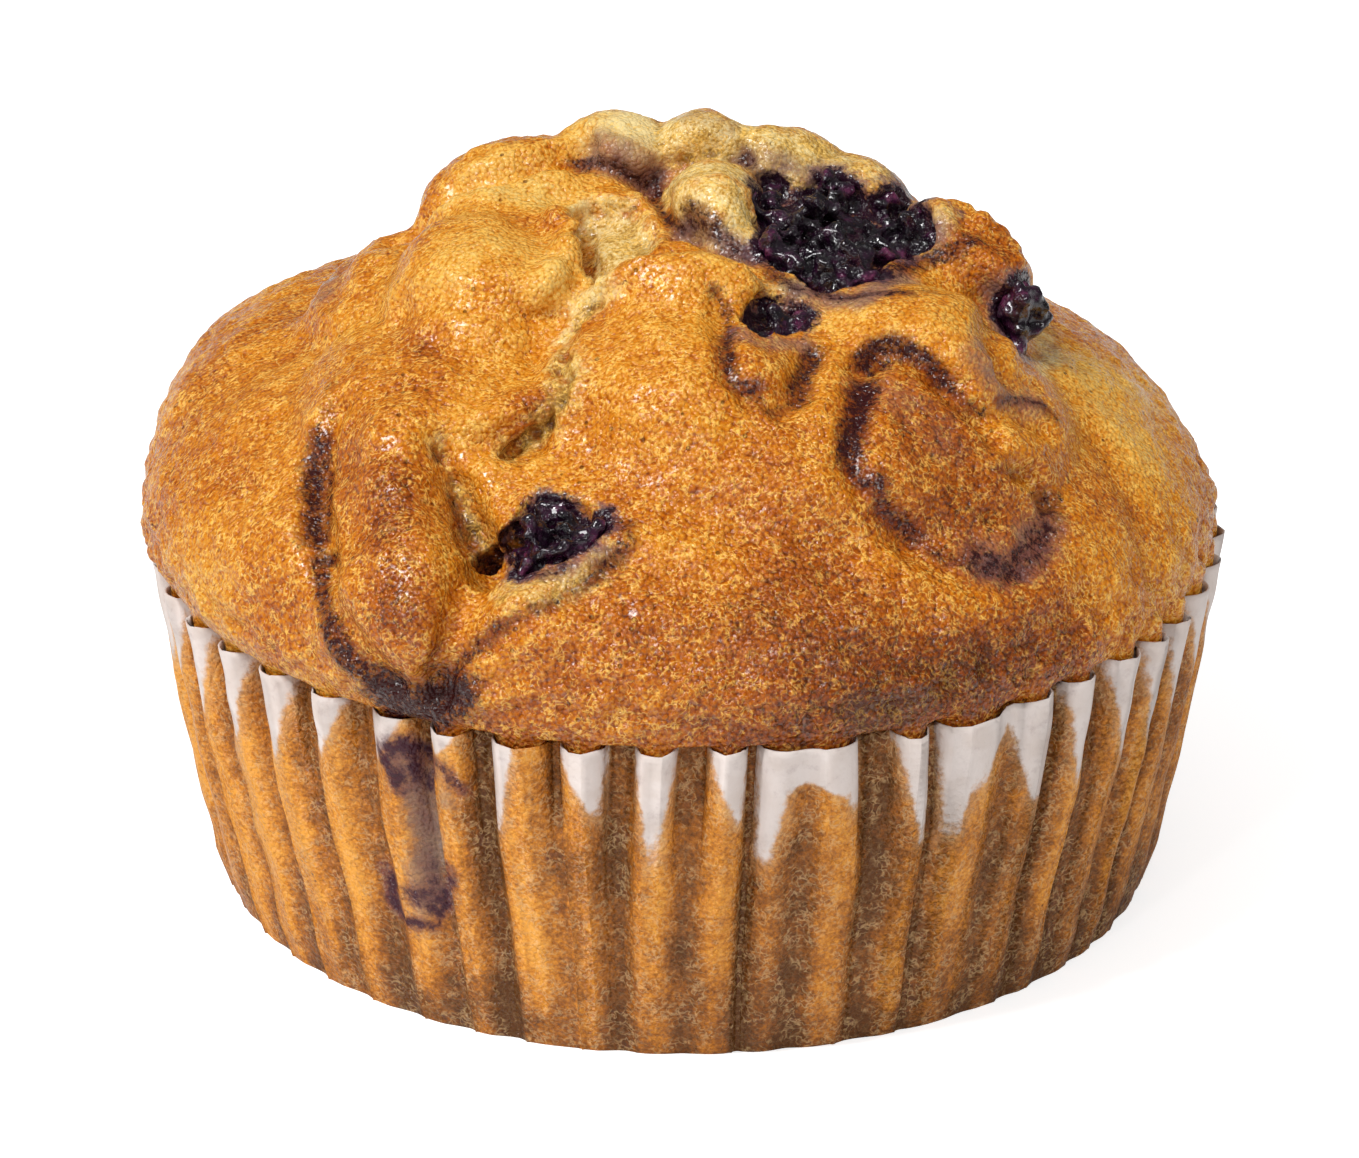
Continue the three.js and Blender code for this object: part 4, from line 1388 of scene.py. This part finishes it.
# %% Crust: the juice
blush = ragged_mark(f, "blush", 2.0, 0.9, 0.2, 0.9)
juice_halo_and_shade = ragged_mark(f, "juice", 1.4, 1.8, 0.1, 1.0)
dark_juice_and_shade = ragged_mark(f, "juice", 0.55, 3.6, 0.55, 1.3)
lilac = ragged_mark(f, "dye", 1.4, 1.6, 0.35, 0.85)
purple = ragged_mark(f, "dye", 1.0, 1.4, 0.55, 0.8)
skin = f.glaze(0.8, blush, skin, srgb(136, 104, 92))
skin = f.glaze(0.75, juice_halo_and_shade, skin, f.mix(blush, srgb(104, 40, 18), srgb(92, 62, 66)))
skin = f.glaze(0.95, dark_juice_and_shade, skin, srgb(46, 10, 16))
skin = f.glaze(0.8, lilac, skin, srgb(110, 78, 84))
skin = f.mix(purple, skin, srgb(38, 14, 28))
f.feed(shader.inputs["Base Color"], skin)
finished(crust_finish)

# %% [markdown]
# Syrup shines in many tiny drops, not as one varnish. The coat is therefore switched on only at the crests
# of a very fine noise, and more so where the gloss is high. The crumb keeps less of the grain's height,
# because it is soft.

# %% Crust: gloss and grain
wet = f.math("MAXIMUM", f.times(0.9, f.attribute("gloss")), f.band(f.noise(3), 0.35, 0.65, 0.25, 0.6))
wet = f.math("MAXIMUM", wet, purple)
drops = f.band(f.noise(0.32, 1), 0.53, 0.63)
f.feed(shader.inputs["Coat Weight"], f.times(0.8, wet, drops))
f.feed(shader.inputs["Roughness"], f.band(fine["Mottle"], 0.35, 0.65, 0.07, 0.26))
firmness = f.math("MULTIPLY_ADD", crumb_mask, -0.3, 1.0)
f.roughen(shader, f.times(f.math("SUBTRACT", fine["Height"], pores), firmness), 0.17)
finished(crust_finish)

# %% [markdown]
# ## The berry pulp
#
# Berry flesh is nearly black where it is thick and turns plum at its thin rim and on the odd shred. It is
# wet all over, so the whole coat is on, and the grain gives it seeds that break the shine into points.

# %% Pulp finish
pulp_finish, f, shader = new_material(
    "berry pulp", Specular_IOR_Level=0.3, Coat_Weight=1.0, Coat_Roughness=0.07)
thin = f.plus(f.noise(1.3, 3, 0.6), f.times(0.2, f.attribute("rim")))
flesh = f.ramp(thin, [(0.4, (12, 4, 11)), (0.58, (28, 8, 26)), (0.7, (58, 16, 46)), (0.88, (118, 50, 86))])
f.feed(shader.inputs["Base Color"], flesh)
f.feed(shader.inputs["Roughness"], f.band(f.noise(0.8), 0.35, 0.7, 0.15, 0.4))
f.roughen(shader, f.group(grain, Size=0.4, Ridges=0.5)["Height"], 0.12)
finished(pulp_finish)

# %% [markdown]
# ## The greaseproof paper
#
# Stuck paper takes the brown of the cake behind it, and painted shade makes it darker in the valleys. It is
# darker near the floor, with pores, and pale curls on it are painted glints. Painted light makes its left
# side lighter. Free paper stays white. As on the crust, one number, the tone, adds up what darkens the
# paper. It is drawn out upwards, because greasy fat creeps along the pleats.

# %% Paper: the stuck part
paper_finish, f, shader = new_material("greaseproof paper", Specular_IOR_Level=0.28)
fibre = f.group(grain, Size=0.38, Ridges=0.3)
where = f.node("ShaderNodeSeparateXYZ", {0: f.place()}).outputs
tone = f.plus(
    # painted shade: darker the further a point lies behind the crest, in the valleys
    f.math("MULTIPLY_ADD", 0.55, f.attribute("behind"), 0.18),
    f.swing(1.3, f.noise(5, 3, 0.6, vector=f.stretched(1, 1, 0.45))),
    f.swing(0.8, f.noise(1.3, 4, 0.65)),
    fibre["Speck"],
    f.attribute("soak_and_painted_shade"),
    f.band(where["Z"], 0.0, 11 * MM, 0.34, 0.0),
    # painted light: lighter on the left, where the key light falls; the next band makes it darker right of
    # the front
    f.band(where["X"], -36 * MM, -12 * MM, -0.16, 0.04),
    f.band(where["X"], 2 * MM, 20 * MM, 0.0, 0.08))
stuck = f.ramp(tone, [
    (0.0, (234, 160, 62)), (0.25, (206, 128, 38)), (0.5, (164, 96, 28)), (0.75, (126, 72, 24)),
    (1.0, (98, 56, 18)),
])
pores = f.pores(1.3, 0.06, 0.12, f.band(f.noise(6), 0.5, 0.6))
stuck = f.glaze(0.7, pores, stuck, srgb(70, 34, 14))
damp = ragged_mark(f, "free", 1.7, 2.2, -1.1, 0.0)
stuck = f.glaze(0.45, damp, stuck, srgb(206, 160, 112))
# painted glints: pale curls on the grain, standing for the sheen of the greasy paper
painted_paper_glints = f.times(fibre["Curl"], f.band(f.noise(1.6, 2, 0.7), 0.42, 0.62, 0.08, 0.5))
stuck = f.mix(painted_paper_glints, stuck, srgb(236, 196, 138))
finished(paper_finish)

# %% [markdown]
# The free tongues and the juice mark lie over that. The juice has three layers: a thin veil between its
# lines, a tint round them and the dark stain itself. The white paper is smoother than the stuck part.

# %% Paper: free tongues and juice
free = ragged_mark(f, "free", 0.9, 1.1, -0.3, 0.2)
white = f.mix(f.band(f.noise(2.5, 3), 0.35, 0.7, 0, 0.6), srgb(222, 210, 204), srgb(206, 190, 180))
colour = f.mix(free, stuck, white)
colour = f.glaze(0.75, ragged_mark(f, "veil", 1.8, 1.6, 0.2, 1.0), colour, srgb(140, 116, 100))
colour = f.glaze(0.7, ragged_mark(f, "juice", 1.6, 1.8, 0.0, 0.9), colour, srgb(104, 58, 64))
colour = f.glaze(0.9, ragged_mark(f, "juice", 0.9, 2.2, 0.45, 1.0), colour, srgb(58, 22, 40))
f.feed(shader.inputs["Base Color"], colour)
f.feed(shader.inputs["Roughness"], f.band(fibre["Mottle"], 0.3, 0.7, 0.3, 0.5))
f.roughen(shader, f.times(fibre["Height"], f.math("MULTIPLY_ADD", free, -0.85, 1.0)), 0.14)
finished(paper_finish)

# %% [markdown]
# ## Pieces and finishes together
#
# A Boolean and a remesh each leave an empty material slot behind, so a piece's slots are cleared before its
# finish goes on. Each piece then says what carries it, and the solid of the imported model that it stands
# for is hidden.

# %% Finishes on
finishes = [(crust, crust_finish), (paper, paper_finish)] + [(pulp, pulp_finish) for pulp in pulps.values()]
for piece, finish in finishes:
    piece.data.materials.clear()
    piece.data.materials.append(finish)
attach(crust, "root")
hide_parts("muffin_body")
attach(paper, "root")
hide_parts("paper_case")
for name, pulp in pulps.items():
    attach(pulp, "root")
    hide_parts(name)
done(f"{2 + len(pulps)} pieces finished")

# %% [markdown]
# ## Floor and lights
#
# A white table in a white room: the camera sees both as pure white, while the room lights the muffin only
# softly. A real room would give no such choice, but a light path node tells the camera's rays from the
# light's. One softbox high on the left does the shaping, and four much smaller lamps round the front give
# the wet crust its glints.

# %% Floor
FLOOR_GLOW = 0.61  # lifts the white of the table to that of the room, for the camera alone
bpy.ops.object.select_all(action="DESELECT")
bpy.ops.mesh.primitive_plane_add(size=6, location=(0, 0, 0))
floor = bpy.context.object
floor.name = "floor"
floor_paint, f, shader = new_material("floor", Base_Color=(0.8, 0.8, 0.8, 1), Roughness=0.9,
                                      Emission_Color=(1, 1, 1, 1))
glow = f.times(FLOOR_GLOW, f.node("ShaderNodeLightPath", {}).outputs["Is Camera Ray"])
f.feed(shader.inputs["Emission Strength"], glow)
floor.data.materials.append(floor_paint)
done("floor laid")

# %% Room light
SEEN, LIT, MIRRORED = 1.0, 0.5, 0.12  # how bright the room is to the camera, as a light, and in reflections
world = bpy.data.worlds.new("studio")
bpy.context.scene.world = world
world.use_nodes = True
room = Finish(world.node_tree)
rays = room.node("ShaderNodeLightPath", {}).outputs
room_light = room.math("MULTIPLY_ADD", rays["Is Camera Ray"], SEEN - LIT, LIT)
room_light = room.math("SUBTRACT", room_light, room.times(LIT - MIRRORED, rays["Is Glossy Ray"]))
background = world.node_tree.nodes["Background"]
background.inputs["Color"].default_value = (1, 1, 1, 1)
room.feed(background.inputs["Strength"], room_light)
done("room lit")

# %% Lamps
LAMPS = {  # place and size in metres, and power in watts
    "key": ((-0.45, -0.2, 0.8), 0.3, 4.6),
    "glint": ((-0.25, -0.3, 0.8), 0.05, 1.2),
    "low glint": ((-0.4, -0.8, 0.35), 0.05, 0.8),
    "front glint": ((0.05, -0.8, 0.7), 0.05, 0.8),
    "right glint": ((0.4, -0.6, 0.6), 0.05, 0.6),
}
LAMPS_LOOK_AT = Vector((0, 0, 0.03))
for name, (at, size, watts) in LAMPS.items():
    light = bpy.data.lights.new(name, "AREA")
    light.shape, light.size, light.energy = "SQUARE", size, watts
    lamp = bpy.data.objects.new(name, light)
    bpy.context.scene.collection.objects.link(lamp)
    lamp.location = at
    lamp.rotation_euler = (LAMPS_LOOK_AT - Vector(at)).to_track_quat("-Z", "Y").to_euler()
bpy.context.scene.view_settings.view_transform = "Standard"
done(f"{len(LAMPS)} lamps")
